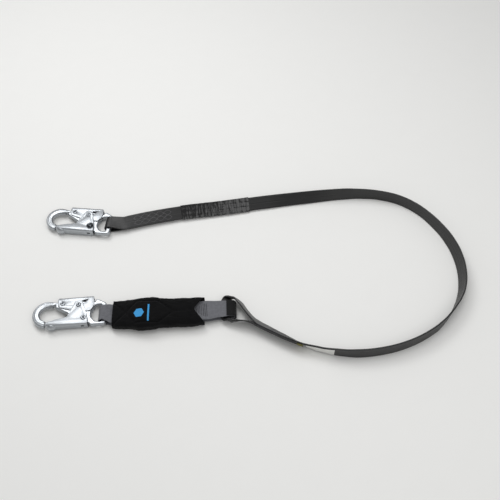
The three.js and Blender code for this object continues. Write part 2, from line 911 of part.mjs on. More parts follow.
// A side view, x along the pack and y up, given a width across the pack.
function packSlab(points, width) {
  return slab(points, -width / 2, width / 2).rotateX(Math.PI / 2);
}

// A closed skin through the cover's sections, grown by grow and run on past both ends.
function coverSkin(grow, overrun) {
  const steps = 18;
  const sides = 16;
  const from = coverFrom - overrun;
  const to = coverTo + overrun;
  const geometry = new THREE.CylinderGeometry(1, 1, to - from, sides, steps)
    .rotateZ(-Math.PI / 2)
    .translate((from + to) / 2, 0, 0);
  const last = coverSections.length - 1;
  const size = (x) => {
    let i = 0;
    while (i < last - 1 && coverSections[i + 1][0] < x) i++;
    const [x0, ...low] = coverSections[i];
    const [x1, ...high] = coverSections[i + 1];
    const share = THREE.MathUtils.clamp((x - x0) / (x1 - x0), 0, 1);
    return low.map((value, k) => value + (high[k] - value) * share);
  };
  const position = geometry.attributes.position;
  for (let i = 0; i < position.count; i++) {
    const [half, tall, middle, side] = size(position.getX(i));
    const radius = Math.hypot(position.getY(i), position.getZ(i));
    const angle = Math.atan2(position.getZ(i), position.getY(i));
    position.setY(i, side + radius * (half + grow) * squared(Math.cos(angle), 0.6));
    position.setZ(i, middle + radius * (tall + grow) * squared(Math.sin(angle), 0.6));
  }
  return geometry;
}

// The cover, with its rear edge notched on top from side to side.
function packCover() {
  const [, half, , middle, side] = coverSections.at(-1);
  const beyond = 10;
  const reach = (half * (notchDepth + beyond)) / notchDepth;
  const wedge = [
    new THREE.Vector2(coverTo - notchDepth, side),
    new THREE.Vector2(coverTo + beyond, side - reach),
    new THREE.Vector2(coverTo + beyond, side + reach),
  ];
  return cut(coverSkin(0, 0), coverSkin(-coverWall, 5), slab(wedge, middle, middle + 50));
}

// The tear webbing, folded to and fro: each pass a bar, each fold a short end bar.
function tearCore() {
  const pitch = webThickness + touchGap;
  const height = coreLayers * pitch - touchGap;
  const low = coreMiddle - height / 2;
  const side = (frontEdges.at(-1)[1] + frontEdges.at(-1)[2]) / 2;
  const near = side - coreWidth / 2;
  const far = side + coreWidth / 2;
  const bars = [];
  for (let i = 0; i < coreLayers; i++) {
    const z = low + i * pitch;
    bars.push(block([coreFrom, near, z], [coreTo, far, z + webThickness]));
    if (i === coreLayers - 1) continue;
    const x0 = i % 2 === 0 ? coreTo - webThickness : coreFrom;
    bars.push(block([x0, near, z + webThickness / 2], [x0 + webThickness, far, z + pitch + 1]));
  }
  return join(...bars);
}

// A loop seen from the side: legs that run from root through a knee, and a round end.
function loopOutline(radius, tip, root, spread, middle, rise, knee) {
  const toFront = tip < root;
  const arc = arcPoints([tip, middle], radius, 90, toFront ? 270 : -90, 10);
  const bend = (sign) => knee.map(([x, z, half]) => new THREE.Vector2(x, z + sign * half));
  const low = new THREE.Vector2(root, rise - spread);
  const high = new THREE.Vector2(root, rise + spread);
  const outline = [high, ...bend(1), ...arc, ...bend(-1), low];
  return toFront ? outline : outline.reverse();
}

// Webbing that leaves the tear webbing, goes round and comes back, within its plan edges.
function webLoop(inside, tip, root, spread, middle, knee, edges) {
  const whole = 80; // wider than the webbing anywhere
  const [x, z, half] = knee;
  const grown = [[x, z, half + webThickness]];
  const beyond = root + Math.sign(root - tip) * 5;
  const outer = loopOutline(
    inside + webThickness,
    tip,
    root,
    spread + webThickness,
    middle,
    loopRise,
    grown,
  );
  const inner = loopOutline(inside, tip, beyond, spread, middle, loopRise, [knee]);
  const plan = [
    ...edges.map(([along, near]) => new THREE.Vector2(along, near)),
    ...edges.map(([along, , far]) => new THREE.Vector2(along, far)).reverse(),
  ];
  const loop = cut(packSlab(outer, whole), packSlab(inner, whole + 10));
  return common(loop, slab(plan, -5, 60));
}

function frontLoop() {
  const root = coreFrom - touchGap;
  return webLoop(frontInside, 0, root, 0.5, hookHeight, frontKnee, frontEdges);
}

const rearTip = rearMiddle + rearHalf - rearInside;

function rearLoop() {
  const root = coreTo + touchGap;
  return webLoop(rearInside, rearTip, root, rearSpread, rearHeight, rearKnee, rearEdges);
}

// The black sleeve on the outside of the rear loop's end.
function wearSleeve() {
  const inside = rearInside + webThickness + touchGap;
  const ring = (radius, root) =>
    loopOutline(radius, rearTip, root, radius, rearHeight, rearHeight, []);
  const root = rearTip - wearLength + inside;
  return cut(
    packSlab(ring(inside + wearThickness, root), wearWidth),
    packSlab(ring(inside, root - 5), wearWidth + 10),
  );
}

// Rows of thread across the webbing where the rear loop is sewn, joined by their ends.
function rearStitch() {
  const from = coverTo - 11;
  const length = (stitchRows - 1) * stitchStep + thread;
  const side = coverSections.at(-1)[4];
  const z = loopRise + rearSpread + webThickness + touchGap;
  const bars = Array.from({ length: stitchRows }, (_, i) => {
    const x = from + i * stitchStep;
    return block([x, side - stitchHalf, z], [x + thread, side + stitchHalf, z + thread]);
  });
  const rails = [-1, 1].map((sign) => {
    const y = side + sign * stitchHalf;
    return block([from, y - thread / 2, z], [from + length, y + thread / 2, z + thread]);
  });
  return join(...bars, ...rails);
}

const packPieces = [
  ["pack_cover", packCover(), "cover"],
  ["pack_tear_web", tearCore(), "tear"],
  ["pack_front_loop", frontLoop(), "web"],
  ["pack_rear_loop", rearLoop(), "web"],
  ["pack_wear_sleeve", wearSleeve(), "wear"],
  ["pack_rear_stitch", rearStitch(), "thread"],
];

function shockPack() {
  const pack = new THREE.Group();
  pack.position.set(packOrigin.x, packOrigin.y, 0);
  pack.rotation.z = radians(packTurn);
  packPieces.forEach(([name, geometry, key]) => {
    const mesh = new THREE.Mesh(geometry, material(key));
    mesh.name = name;
    pack.add(mesh);
  });
  return pack;
}

// -------------------------------------------------------------------------- assembly

const strapPieces = [
  ["strap_webbing", strapWebbing(), "strap"],
  ["strap_anchor_loop", anchorLoop(), "strap"],
  ["strap_anchor_tail", tailWeb(0, anchorTailSteps), "strap"],
  ["strap_anchor_stitch", stitchBlock(0.4, anchorTailSteps - 1, 5, 2), "thread"],
  ["strap_clear_sleeve", clearSleeve(), "clear"],
  ["strap_pack_loop", packLoop(), "strap"],
  ["strap_pack_tail", tailWeb(tailEnd, runSteps), "strap"],
  ["strap_pack_stitch", stitchBlock(tailEnd + 0.4, runSteps - 1, 3, 2), "thread"],
  ["strap_tail_binding", tailBinding(), "olive"],
  ["strap_tag", whiteTag(), "tag"],
];

const lanyard = new THREE.Group();
lanyard.add(snapHook("anchor", anchorHook), snapHook("harness", harnessHook), shockPack());
strapPieces.forEach(([name, geometry, key]) => {
  const mesh = new THREE.Mesh(geometry, material(key));
  mesh.name = name;
  lanyard.add(mesh);
});

export default lanyard;
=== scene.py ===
"""Looks of a shock absorbing lanyard: two snap hooks, a covered shock pack and a strap."""

import json
import math

import bmesh
import bpy
import numpy as np
from mathutils import Matrix, Vector, noise


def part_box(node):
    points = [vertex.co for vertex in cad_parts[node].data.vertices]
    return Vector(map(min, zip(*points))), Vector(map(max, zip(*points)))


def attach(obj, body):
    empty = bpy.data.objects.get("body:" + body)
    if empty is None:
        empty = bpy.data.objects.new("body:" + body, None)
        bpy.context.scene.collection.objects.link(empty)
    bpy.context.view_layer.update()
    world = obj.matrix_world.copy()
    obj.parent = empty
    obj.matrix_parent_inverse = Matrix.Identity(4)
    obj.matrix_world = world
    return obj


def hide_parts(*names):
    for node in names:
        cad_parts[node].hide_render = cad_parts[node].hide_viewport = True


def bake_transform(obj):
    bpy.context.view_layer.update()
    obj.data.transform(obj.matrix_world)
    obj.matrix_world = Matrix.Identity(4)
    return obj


bl_info = {
    "name": "Shock Absorbing Lanyard",
    "version": (1, 0, 0),
    "blender": (4, 5, 0),
    "location": "View3D > Sidebar > Lanyard",
    "description": "Builds the webbing, cover, stitching and steel of a shock absorbing lanyard",
    "category": "Add Mesh",
}

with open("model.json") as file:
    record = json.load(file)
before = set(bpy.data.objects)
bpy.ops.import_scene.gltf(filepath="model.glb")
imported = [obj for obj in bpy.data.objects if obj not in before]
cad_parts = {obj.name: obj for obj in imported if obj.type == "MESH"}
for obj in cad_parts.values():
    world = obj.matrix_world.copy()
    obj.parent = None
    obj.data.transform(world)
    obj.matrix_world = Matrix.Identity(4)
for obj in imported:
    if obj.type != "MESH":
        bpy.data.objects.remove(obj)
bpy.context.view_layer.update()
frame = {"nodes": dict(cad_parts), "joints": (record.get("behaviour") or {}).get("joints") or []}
MM = 0.001
ENDS = ("anchor", "harness")


def joint_place(name):
    """Where a joint of the CAD model turns."""
    joint = next(j for j in frame["joints"] if j["name"] == name)
    return Vector(joint["pos_m"])


def joint_axis(name):
    """The direction that a joint of the CAD model turns about."""
    joint = next(j for j in frame["joints"] if j["name"] == name)
    return Vector(joint["axis"]).normalized()


# ---------------------------------------------------------------- the strap's route

# The middle of the strap in metres and its lean in degrees: 0 lies flat, 90 stands.
STRAP_ROUTE = (
    (-0.022, 0.1065, 0.013, 24),
    (0.015, 0.1165, 0.013, 28),
    (0.055, 0.1255, 0.013, 32),
    (0.095, 0.1335, 0.0126, 36),
    (0.156, 0.1427, 0.0124, 41),
    (0.237, 0.1567, 0.0128, 47),
    (0.320, 0.1693, 0.0131, 60),
    (0.402, 0.1793, 0.0138, 75),
    (0.444, 0.1805, 0.0139, 85),
    (0.484, 0.1762, 0.0139, 90),
    (0.524, 0.1626, 0.0139, 90),
    (0.561, 0.1344, 0.0139, 88),
    (0.592, 0.092, 0.0139, 82),
    (0.608, 0.0577, 0.0138, 76),
    (0.616, 0.028, 0.0136, 72),
    (0.619, -0.004, 0.0135, 70),
    (0.6165, -0.035, 0.0135, 70),
    (0.610, -0.060, 0.0136, 72),
    (0.601, -0.080, 0.0138, 76),
    (0.589, -0.099, 0.0139, 82),
    (0.575, -0.117, 0.0139, 86),
    (0.554, -0.138, 0.0139, 90),
    (0.518, -0.1615, 0.0139, 90),
    (0.480, -0.1776, 0.0139, 90),
    (0.444, -0.1865, 0.0139, 90),
    (0.4086, -0.1904, 0.0139, 90),
    (0.3738, -0.1885, 0.0139, 84),
    (0.3393, -0.1816, 0.0139, 74),
    (0.3048, -0.1696, 0.0143, 62),
    (0.270, -0.1514, 0.0146, 53),
    (0.240, -0.134, 0.0147, 50),
)
STRAP_LAYER = 3.3 * MM  # from one layer of strap to the next
TURN_RADIUS = 7.6 * MM  # of the strap round the anchor hook's eye bar

# The loop at the pack, from the run's end: millimetres ahead of the bight, to the far
# side and up, the way the strap's width points, and its width and thickness there.
PACK_LOOP = (
    (50, -20.5, 14.6, (0, -0.68, 0.73), 27, 3),
    (38.5, -4, 14.8, (0, -0.7, 0.71), 26, 3),
    (29, 11, 15.2, (-0.1, -0.64, 0.75), 24, 3.2),
    (20, 21, 15.2, (-0.3, -0.3, 0.85), 19, 3.6),
    (10.5, 24, 13.2, (-0.75, -0.2, 0.6), 17, 4),
    (4.5, 20.5, 10.2, (-1, 0, 0.15), 18, 3.6),
    (3.5, 12, 9.4, (-1, 0, 0), 25, 3),
    (3.5, 0, 9.4, (-1, 0, 0), 27, 3),
    (3.5, -12, 9.4, (-1, 0, 0), 25, 3),
    (4.5, -18.5, 9.6, (-1, 0, 0.15), 18, 3.6),
    (9.5, -23.3, 11, (-0.6, -0.1, 0.75), 14, 4.4),
    (18, -24.5, 12.4, (0, -0.45, 0.88), 18, 4),
    (31, -25.5, 13.2, (0, -0.52, 0.85), 25, 3),
    (44, -28.5, 13.9, (0, -0.55, 0.83), 27, 3),
)

# The cover's sections in millimetres: distance from the harness hook's eye bar, half
# width, half height, the height of the middle and how far it lies to the far side.
COVER_SECTIONS = (
    (17, 27.4, 11.3, 11.6, -4.5),
    (25, 28.5, 11.7, 12, -5.5),
    (38, 29, 12.6, 12.9, -6),
    (52, 30, 14, 14.4, -6.8),
    (66, 32.5, 15.2, 15.5, -7.6),
    (78, 33.5, 16, 16.3, -7),
    (90, 32.5, 15.4, 15.7, -6),
    (102, 30, 14.6, 14.9, -6),
    (120, 28.8, 14.2, 14.5, -6),
    (140, 29, 14, 14.3, -5.5),
    (158, 29.3, 13.6, 13.9, -5),
    (172, 29, 12.8, 13.1, -4),
    (183, 28.3, 12, 12.3, -3),
)
COVER_NOTCH = 20  # depth of the V in the cover's rear edge, in millimetres
PACK_TURN = math.radians(2)
REAR_MIDDLE = 219  # middle of the strap's bight, from the eye bar

# The cover's sewn lines, in millimetres along the pack and to its far side.
COVER_SEAMS = (
    ((20, 13), (42, -8)),
    ((20, -29), (42, -8)),
    ((42, -8), (60, 14)),
    ((42, -8), (60, -31)),
    ((60, 14), (101, 13)),
    ((60, -31), (101, -31)),
    ((101, 13), (127, -9)),
    ((101, -31), (127, -9)),
    ((127, -9), (160, -6)),
)
BADGE_PLACE = (66, -12.5)
BADGE_RADIUS = 9.5
BAR_PLACE = (83, -12.5)
BAR_SIZE = (3, 33)
PRINT_HEIGHT = 45  # millimetres, from where the print is pressed down on the cover

# What is sewn, shrunk and stuck on the strap: lengths along it, and shares of its width.
TAIL_AT_ANCHOR = 86 * MM
TAIL_AT_PACK = 71 * MM
SLEEVE_STRETCH = (103 * MM, 241 * MM)
BINDING_LENGTH = 9 * MM
BINDING_OVERLAP = 2 * MM
BINDING_THICKNESS = 3.6 * MM
TAG_LENGTH = 50 * MM
TAG_THICKNESS = 0.5 * MM
TAG_DEPTH = 1.95 * MM  # from the strap's middle to the tag's
TAG_GAP = 6 * MM  # from the bound end to the tag
NARROW_SHARE = 0.86  # of the binding and the tag
STITCHED_SHARE = 0.36  # from the middle to the outer ovals
STITCH_PITCH = 2.4 * MM
THREAD_LIFT = 0.12 * MM  # of a stitch's middle over the face
ANCHOR_OVALS = 5
PACK_OVALS = 3
OVAL_ROWS = 2

# The cover's skin: its rows of points, and how it swells.
COVER_ROWS = 78
COVER_AROUND = 76
COVER_SLACK = 1.2  # millimetres that the skin swells by
COVER_SWELL = 2.6 * MM  # the most that a point may move as the cover swells
SEWN_REACH = 1.4  # millimetres from a sewn line that stay pinned
CLOTH_STEPS = 20

# The load webbing and the wear sleeve from the side, in millimetres along the pack and up:
# root and knee as distance, height and half the gap between layers, tip with its radius.
FRONT_SIDE = ((47.7, 12, 1.75), (18, 11.25, 4), (0, 9.95, 8.5))
REAR_SIDE = ((150.3, 12, 3.25), (186, 12, 3.25), (232.4, 9.4, 5.85))
WEAR_SIDE = ((222.8, 9.4, 8.1), None, (232.4, 9.4, 8.1))
WEAR_THICKNESS = 1.4 * MM

# The load webbing's edges in plan, in millimetres: distance from the eye bar, near edge
# and far edge.
FRONT_EDGES = (
    (-20, -16.5, 13.5),
    (4, -17, 13.8),
    (9, -20, 15),
    (17, -23.5, 15.5),
    (25, -23.5, 13.5),
    (38, -25, 14.5),
    (60, -25, 14.5),
)
REAR_EDGES = (
    (140, -24, 14.5),
    (172, -23.5, 16),
    (186, -22.5, 17),
    (200, -20.5, 17),
    (223, -15.5, 15.5),
    (250, -15.5, 15.5),
)
WEAR_EDGES = ((200, -16, 16), (250, -16, 16))


# ------------------------------------------------------------------------- settings


def linear(colour):
    """An sRGB hex colour as linear red, green and blue."""
    parts = [int(colour[i : i + 2], 16) / 255 for i in (0, 2, 4)]
    return tuple(c / 12.92 if c <= 0.04045 else ((c + 0.055) / 1.055) ** 2.4 for c in parts)


def colour_setting(name, colour, description):
    return bpy.props.FloatVectorProperty(
        name=name,
        description=description,
        default=linear(colour),
        min=0,
        max=1,
        subtype="COLOR",
    )


class StrapSettings(bpy.types.PropertyGroup):
    width: bpy.props.FloatProperty(
        name="Width", description="Width of the strap", default=27 * MM, unit="LENGTH"
    )
    thickness: bpy.props.FloatProperty(
        name="Thickness", description="Thickness of the strap", default=3 * MM, unit="LENGTH"
    )
    colour: colour_setting("Colour", "101011", "Coating of the strap")
    thread: colour_setting("Thread", "6a6a6c", "Sewing thread")


class PackSettings(bpy.types.PropertyGroup):
    webbing_thickness: bpy.props.FloatProperty(
        name="Webbing thickness",
        description="Thickness of the grey load webbing",
        default=2.5 * MM,
        precision=4,
        unit="LENGTH",
    )
    wall: bpy.props.FloatProperty(
        name="Cover wall", description="Thickness of the cover", default=1.2 * MM, unit="LENGTH"
    )
    cover: colour_setting("Cover", "0b0b0c", "Cover fabric")
    webbing: colour_setting("Webbing", "727378", "Load webbing")
    mark: colour_setting("Mark", "3f9bd8", "Printed badge on the cover")


class HookSettings(bpy.types.PropertyGroup):
    forging_grain: bpy.props.FloatProperty(
        name="Forging detail",
        description="Size of the facets that the forged frames are rounded with",
        default=0.62 * MM,
        precision=5,
        unit="LENGTH",
    )
    edge: bpy.props.FloatProperty(
        name="Pressed edge",
        description="Rounding of the gate's and lever's edges",
        default=0.3 * MM,
        precision=5,
        unit="LENGTH",
    )
    steel: colour_setting("Steel", "b2b6ba", "Zinc plating")


class StageSettings(bpy.types.PropertyGroup):
    elevation: bpy.props.FloatProperty(
        name="Camera elevation",
        description="Height of the camera above the horizon",
        default=math.radians(53),
        subtype="ANGLE",
    )
    distance: bpy.props.FloatProperty(
        name="Camera distance",
        description="From the camera to the floor in the middle of the view",
        default=1.374,
        unit="LENGTH",
    )
    lens: bpy.props.FloatProperty(
        name="Lens", description="Focal length", default=50.4, unit="CAMERA"
    )
    floor: colour_setting("Floor", "f4f4f2", "Plain floor")


SETTINGS = {
    "strap": StrapSettings,
    "pack": PackSettings,
    "hooks": HookSettings,
    "stage": StageSettings,
}


def settings(group):
    return getattr(bpy.context.scene, "lanyard_" + group)


# ------------------------------------------------------------------------ materials


def add(tree, kind, sockets=None, **attributes):
    """Adds a shader node with its attributes, and sets or links its input sockets."""
    node = tree.nodes.new("ShaderNode" + kind)
    for name, value in attributes.items():
        setattr(node, name, value)
    for name, value in (sockets or {}).items():
        if isinstance(value, bpy.types.NodeSocket):
            tree.links.new(value, node.inputs[name])
        else:
            node.inputs[name].default_value = value
    return node


def new_material(name, colour, roughness, metallic=0.0, **shader):
    """A material with its Principled shader set, its node tree and both coordinates."""
    material = bpy.data.materials.new(name)
    material.use_nodes = True
    material.diffuse_color = (*colour[:3], 1)
    tree = material.node_tree
    surface = tree.nodes["Principled BSDF"]
    surface.inputs["Base Color"].default_value = (*colour[:3], 1)
    surface.inputs["Roughness"].default_value = roughness
    surface.inputs["Metallic"].default_value = metallic
    for name, value in shader.items():
        surface.inputs[name.replace("_", " ")].default_value = value
    places = add(tree, "TexCoord").outputs
    return material, tree, surface, places


def shade(colour, factor):
    return (*[min(1, c * factor) for c in colour[:3]], 1)


def vary_colour(tree, surface, factor, dark, light):
    """Drives the base colour between two colours by a factor from 0 to 1."""
    mix = add(tree, "Mix", {0: factor, 6: dark, 7: light}, data_type="RGBA")
    tree.links.new(mix.outputs[2], surface.inputs["Base Color"])


def vary_roughness(tree, surface, factor, low, high):
    span = add(tree, "MapRange", {"Value": factor, "To Min": low, "To Max": high})
    tree.links.new(span.outputs[0], surface.inputs["Roughness"])


def bump(tree, surface, height, depth, strength=1.0, normal=None):
    sockets = {"Height": height, "Distance": depth, "Strength": strength}
    if normal:
        sockets["Normal"] = normal
    node = add(tree, "Bump", sockets)
    tree.links.new(node.outputs[0], surface.inputs["Normal"])
    return node.outputs[0]


def speckle(tree, place, size, detail=3.0):
    """Noise whose blotches are about size metres across."""
    sockets = {"Vector": place, "Scale": 1 / size, "Detail": detail}
    return add(tree, "TexNoise", sockets).outputs["Fac"]


def threads(tree, place, pitch, axis="X"):
    """Smooth ridges, one every pitch metres along an axis of the coordinates."""
    sockets = {"Vector": place, "Scale": math.pi / (10 * pitch)}
    node = add(tree, "TexWave", sockets, bands_direction=axis, wave_profile="SIN")
    return node.outputs["Fac"]


def combine(tree, operation, a, b):
    return add(tree, "Math", {0: a, 1: b}, operation=operation).outputs[0]


def zinc_plated_forging():
    # Drop-forged steel under bright zinc: soft, slightly uneven highlights with the
    # forging's faint dimples, and cloudier plating in places.
    steel = settings("hooks").steel
    material, tree, surface, places = new_material("zinc_plated_forging", steel, 0.34, 1.0)
    clouds = speckle(tree, places["Object"], 9 * MM)
    vary_colour(tree, surface, clouds, shade(steel, 0.8), shade(steel, 1.04))
    vary_roughness(tree, surface, speckle(tree, places["Object"], 4 * MM), 0.3, 0.4)
    bump(tree, surface, speckle(tree, places["Object"], 1.6 * MM, 2.0), 0.05 * MM, 0.15)
    return material


def zinc_plated_pressing():
    # Rolled steel sheet, stamped and zinc plated: flat pale faces with a fine satin grain.
    steel = settings("hooks").steel
    material, tree, surface, places = new_material("zinc_plated_pressing", steel, 0.36, 1.0)
    along = add(
        tree, "Mapping", {"Vector": places["Object"], "Scale": (0.12, 1, 1)}, vector_type="POINT"
    ).outputs[0]
    grain = speckle(tree, along, 0.5 * MM, 4.0)
    clouds = speckle(tree, places["Object"], 7 * MM)
    vary_colour(tree, surface, clouds, shade(steel, 0.86), shade(steel, 1.03))
    vary_roughness(tree, surface, grain, 0.34, 0.46)
    bump(tree, surface, grain, 0.02 * MM, 0.5)
    return material


def plated_rivet_steel():
    # Cold-formed rivet steel, plated: darker and glossier than the sheet round it.
    colour = linear("8e9297")
    material, tree, surface, places = new_material("plated_rivet_steel", colour, 0.26, 1.0)
    wear = speckle(tree, places["Object"], 1.5 * MM)
    vary_colour(tree, surface, wear, shade(colour, 0.6), shade(colour, 1.05))
    vary_roughness(tree, surface, wear, 0.15, 0.32)
    return material


def drawn_spring_wire():
    # Drawn music wire: dull grey steel with lengthwise die lines.
    colour = linear("8d9094")
    material, tree, surface, places = new_material("drawn_spring_wire", colour, 0.35, 1.0)
    lines = speckle(tree, places["Object"], 0.4 * MM)
    vary_colour(tree, surface, lines, shade(colour, 0.7), shade(colour, 1.1))
    vary_roughness(tree, surface, lines, 0.28, 0.45)
    return material


def coated_webbing():
    # Polyester webbing dipped in black urethane: the weave shows through as fine ribs
    # across the strap, under a satin skin that pales at a grazing angle.
    colour = settings("strap").colour
    material, tree, surface, places = new_material(
        "coated_webbing", colour, 0.34, Specular_IOR_Level=0.6
    )
    ribs = threads(tree, places["UV"], 1.5 * MM, "X")  # coarser than real, so it shows
    rows = threads(tree, places["UV"], 4.2 * MM, "Y")
    weave = combine(tree, "ADD", ribs, combine(tree, "MULTIPLY", rows, 0.8))
    scuffs = speckle(tree, places["Object"], 6 * MM, 5.0)
    vary_colour(tree, surface, scuffs, shade(colour, 0.6), shade(colour, 1.5))
    vary_roughness(tree, surface, scuffs, 0.3, 0.5)
    bump(tree, surface, weave, 0.16 * MM, 0.7)
    return material


def woven_webbing(name, colour, pitch, pale=1.35):
    # Plain woven polyester in rows along the webbing. Its colour follows the weave: painted
    # highlight on the crowns of yarn and painted shade in the gaps between, with random wear.
    material, tree, surface, places = new_material(
        name, colour, 0.75, Specular_IOR_Level=0.2
    )
    surface.inputs["Sheen Weight"].default_value = 0.15
    surface.inputs["Sheen Roughness"].default_value = 0.5
    ribs = threads(tree, places["UV"], pitch, "X")
    rows = threads(tree, places["UV"], 1.7 * pitch, "Y")
    weave = combine(tree, "MULTIPLY", ribs, rows)
    wear = speckle(tree, places["Object"], 5 * MM, 4.0)
    # Painted light mixed with wear: lighter on the weave's crowns, darker in its gaps, plus
    # random wear
    painted_weave_light_and_wear = combine(tree, "MULTIPLY", combine(tree, "ADD", weave, wear), 0.6)
    vary_colour(tree, surface, painted_weave_light_and_wear, shade(colour, 0.55), shade(colour, pale))
    bump(tree, surface, weave, 0.35 * MM, 0.8)
    return material


def cover_cloth():
    # Black nylon pack cloth: a plain weave, matt, with dusty paler folds.
    colour = settings("pack").cover
    material, tree, surface, places = new_material(
        "cover_cloth", colour, 0.8, Specular_IOR_Level=0.08
    )
    surface.inputs["Sheen Weight"].default_value = 0.06
    surface.inputs["Sheen Roughness"].default_value = 0.5
    warp = threads(tree, places["Object"], 0.9 * MM, "X")
    weft = threads(tree, places["Object"], 0.9 * MM, "Y")
    weave = combine(tree, "MAXIMUM", warp, weft)
    dust = speckle(tree, places["Object"], 12 * MM, 5.0)
    vary_colour(tree, surface, dust, shade(colour, 0.6), shade(colour, 1.6))
    bump(tree, surface, weave, 0.12 * MM, 0.6)
    return material


def bonded_thread(name, colour):
    # Twisted bonded nylon: slightly glossy cord with a fine twist.
    material, tree, surface, places = new_material(name, colour, 0.5)
    twist = speckle(tree, places["Object"], 0.7 * MM)
    vary_colour(tree, surface, twist, shade(colour, 0.6), shade(colour, 1.2))
    bump(tree, surface, twist, 0.1 * MM, 0.5)
    return material


def shrink_film():
    # Clear shrink tube drawn tight on black webbing: glass-bright gloss over black, broken
    # into streaks by creases that run across the strap.
    colour = linear("0b0b0c")
    material, tree, surface, places = new_material(
        "shrink_film", colour, 0.1, Coat_Weight=0.4, Coat_Roughness=0.04
    )
    along = add(
        tree, "Mapping", {"Vector": places["UV"], "Scale": (1, 0.25, 1)}, vector_type="POINT"
    ).outputs[0]
    creases = speckle(tree, along, 5 * MM, 3.0)
    haze = speckle(tree, places["Object"], 9 * MM, 2.0)
    vary_colour(tree, surface, haze, shade(colour, 0.5), shade(colour, 1.2))
    bump(tree, surface, creases, 1.3 * MM, 0.8)
    return material


def tag_film():
    # White polyester label film: matt, with slight greying.
    colour = linear("e9e9e5")
    material, tree, surface, places = new_material("tag_film", colour, 0.5)
    grime = speckle(tree, places["Object"], 6 * MM, 4.0)
    vary_colour(tree, surface, grime, shade(colour, 0.8), shade(colour, 1.02))
    bump(tree, surface, speckle(tree, places["Object"], 3 * MM), 0.15 * MM, 0.4)
    return material


def printed_ink():
    # Screen-printed ink on cloth: flat blue, with painted shade in the weave's grooves and a
    # lighter tone on its ridges.
    colour = settings("pack").mark
    material, tree, surface, places = new_material(
        "printed_ink", colour, 0.6, Specular_IOR_Level=0.2
    )
    weave = threads(tree, places["Object"], 0.9 * MM, "X")
    # Painted shade: the blue is darker in the weave's grooves and lighter on its ridges
    vary_colour(tree, surface, weave, shade(colour, 0.8), shade(colour, 1.15))
    bump(tree, surface, weave, 0.08 * MM, 0.5)
    return material


def painted_floor():
    # Smooth matt white paint with barely visible roller texture.
    colour = settings("stage").floor
    material, tree, surface, places = new_material("painted_floor", colour, 0.9)
    roller = speckle(tree, places["Object"], 40 * MM, 2.0)
    vary_colour(tree, surface, roller, shade(colour, 0.985), shade(colour, 1.0))
    return material


MADE = {}


def finish(maker, *words):
    """One material for each maker and its words, made when first asked for."""
    key = (maker.__name__, *map(str, words))
    if key not in MADE:
        MADE[key] = maker(*words)
    return MADE[key]


def strap_thread():
    return finish(bonded_thread, "grey_thread", tuple(settings("strap").thread))


def grey_webbing():
    return finish(woven_webbing, "grey_load_webbing", tuple(settings("pack").webbing), 1.3 * MM)


# -------------------------------------------------------------------------- modelling


def deselect():
    for thing in bpy.context.selected_objects:
        thing.select_set(False)


def take(thing):
    """Makes one object the selected and active one."""
    deselect()
    thing.select_set(True)
    bpy.context.view_layer.objects.active = thing


def modify(thing, kind, **values):
    modifier = thing.modifiers.new(kind.title(), kind)
    for name, value in values.items():
        setattr(modifier, name, value)
    take(thing)
    bpy.ops.object.modifier_apply(modifier=modifier.name)


def as_object(name, mesh):
    piece = bpy.data.objects.new(name, mesh)
    bpy.context.scene.collection.objects.link(piece)
    return piece


def dress(piece, material, body, angle=40):
    """Gives a piece its material, smooth shading and body."""
    piece.data.materials.clear()
    piece.data.materials.append(material)
    take(piece)
    bpy.ops.object.shade_smooth_by_angle(angle=math.radians(angle))
    if body:
        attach(piece, body)


def copy_of(node, name):
    """A copy of a CAD node's mesh with its loose triangles joined up."""
    source = frame["nodes"][node]
    mesh = source.data.copy()
    mesh.name = name
    piece = as_object(name, mesh)
    take(piece)
    bpy.ops.object.mode_set(mode="EDIT")
    bpy.ops.mesh.select_all(action="SELECT")
    bpy.ops.mesh.remove_doubles(threshold=0.01 * MM)
    bpy.ops.object.mode_set(mode="OBJECT")
    return piece


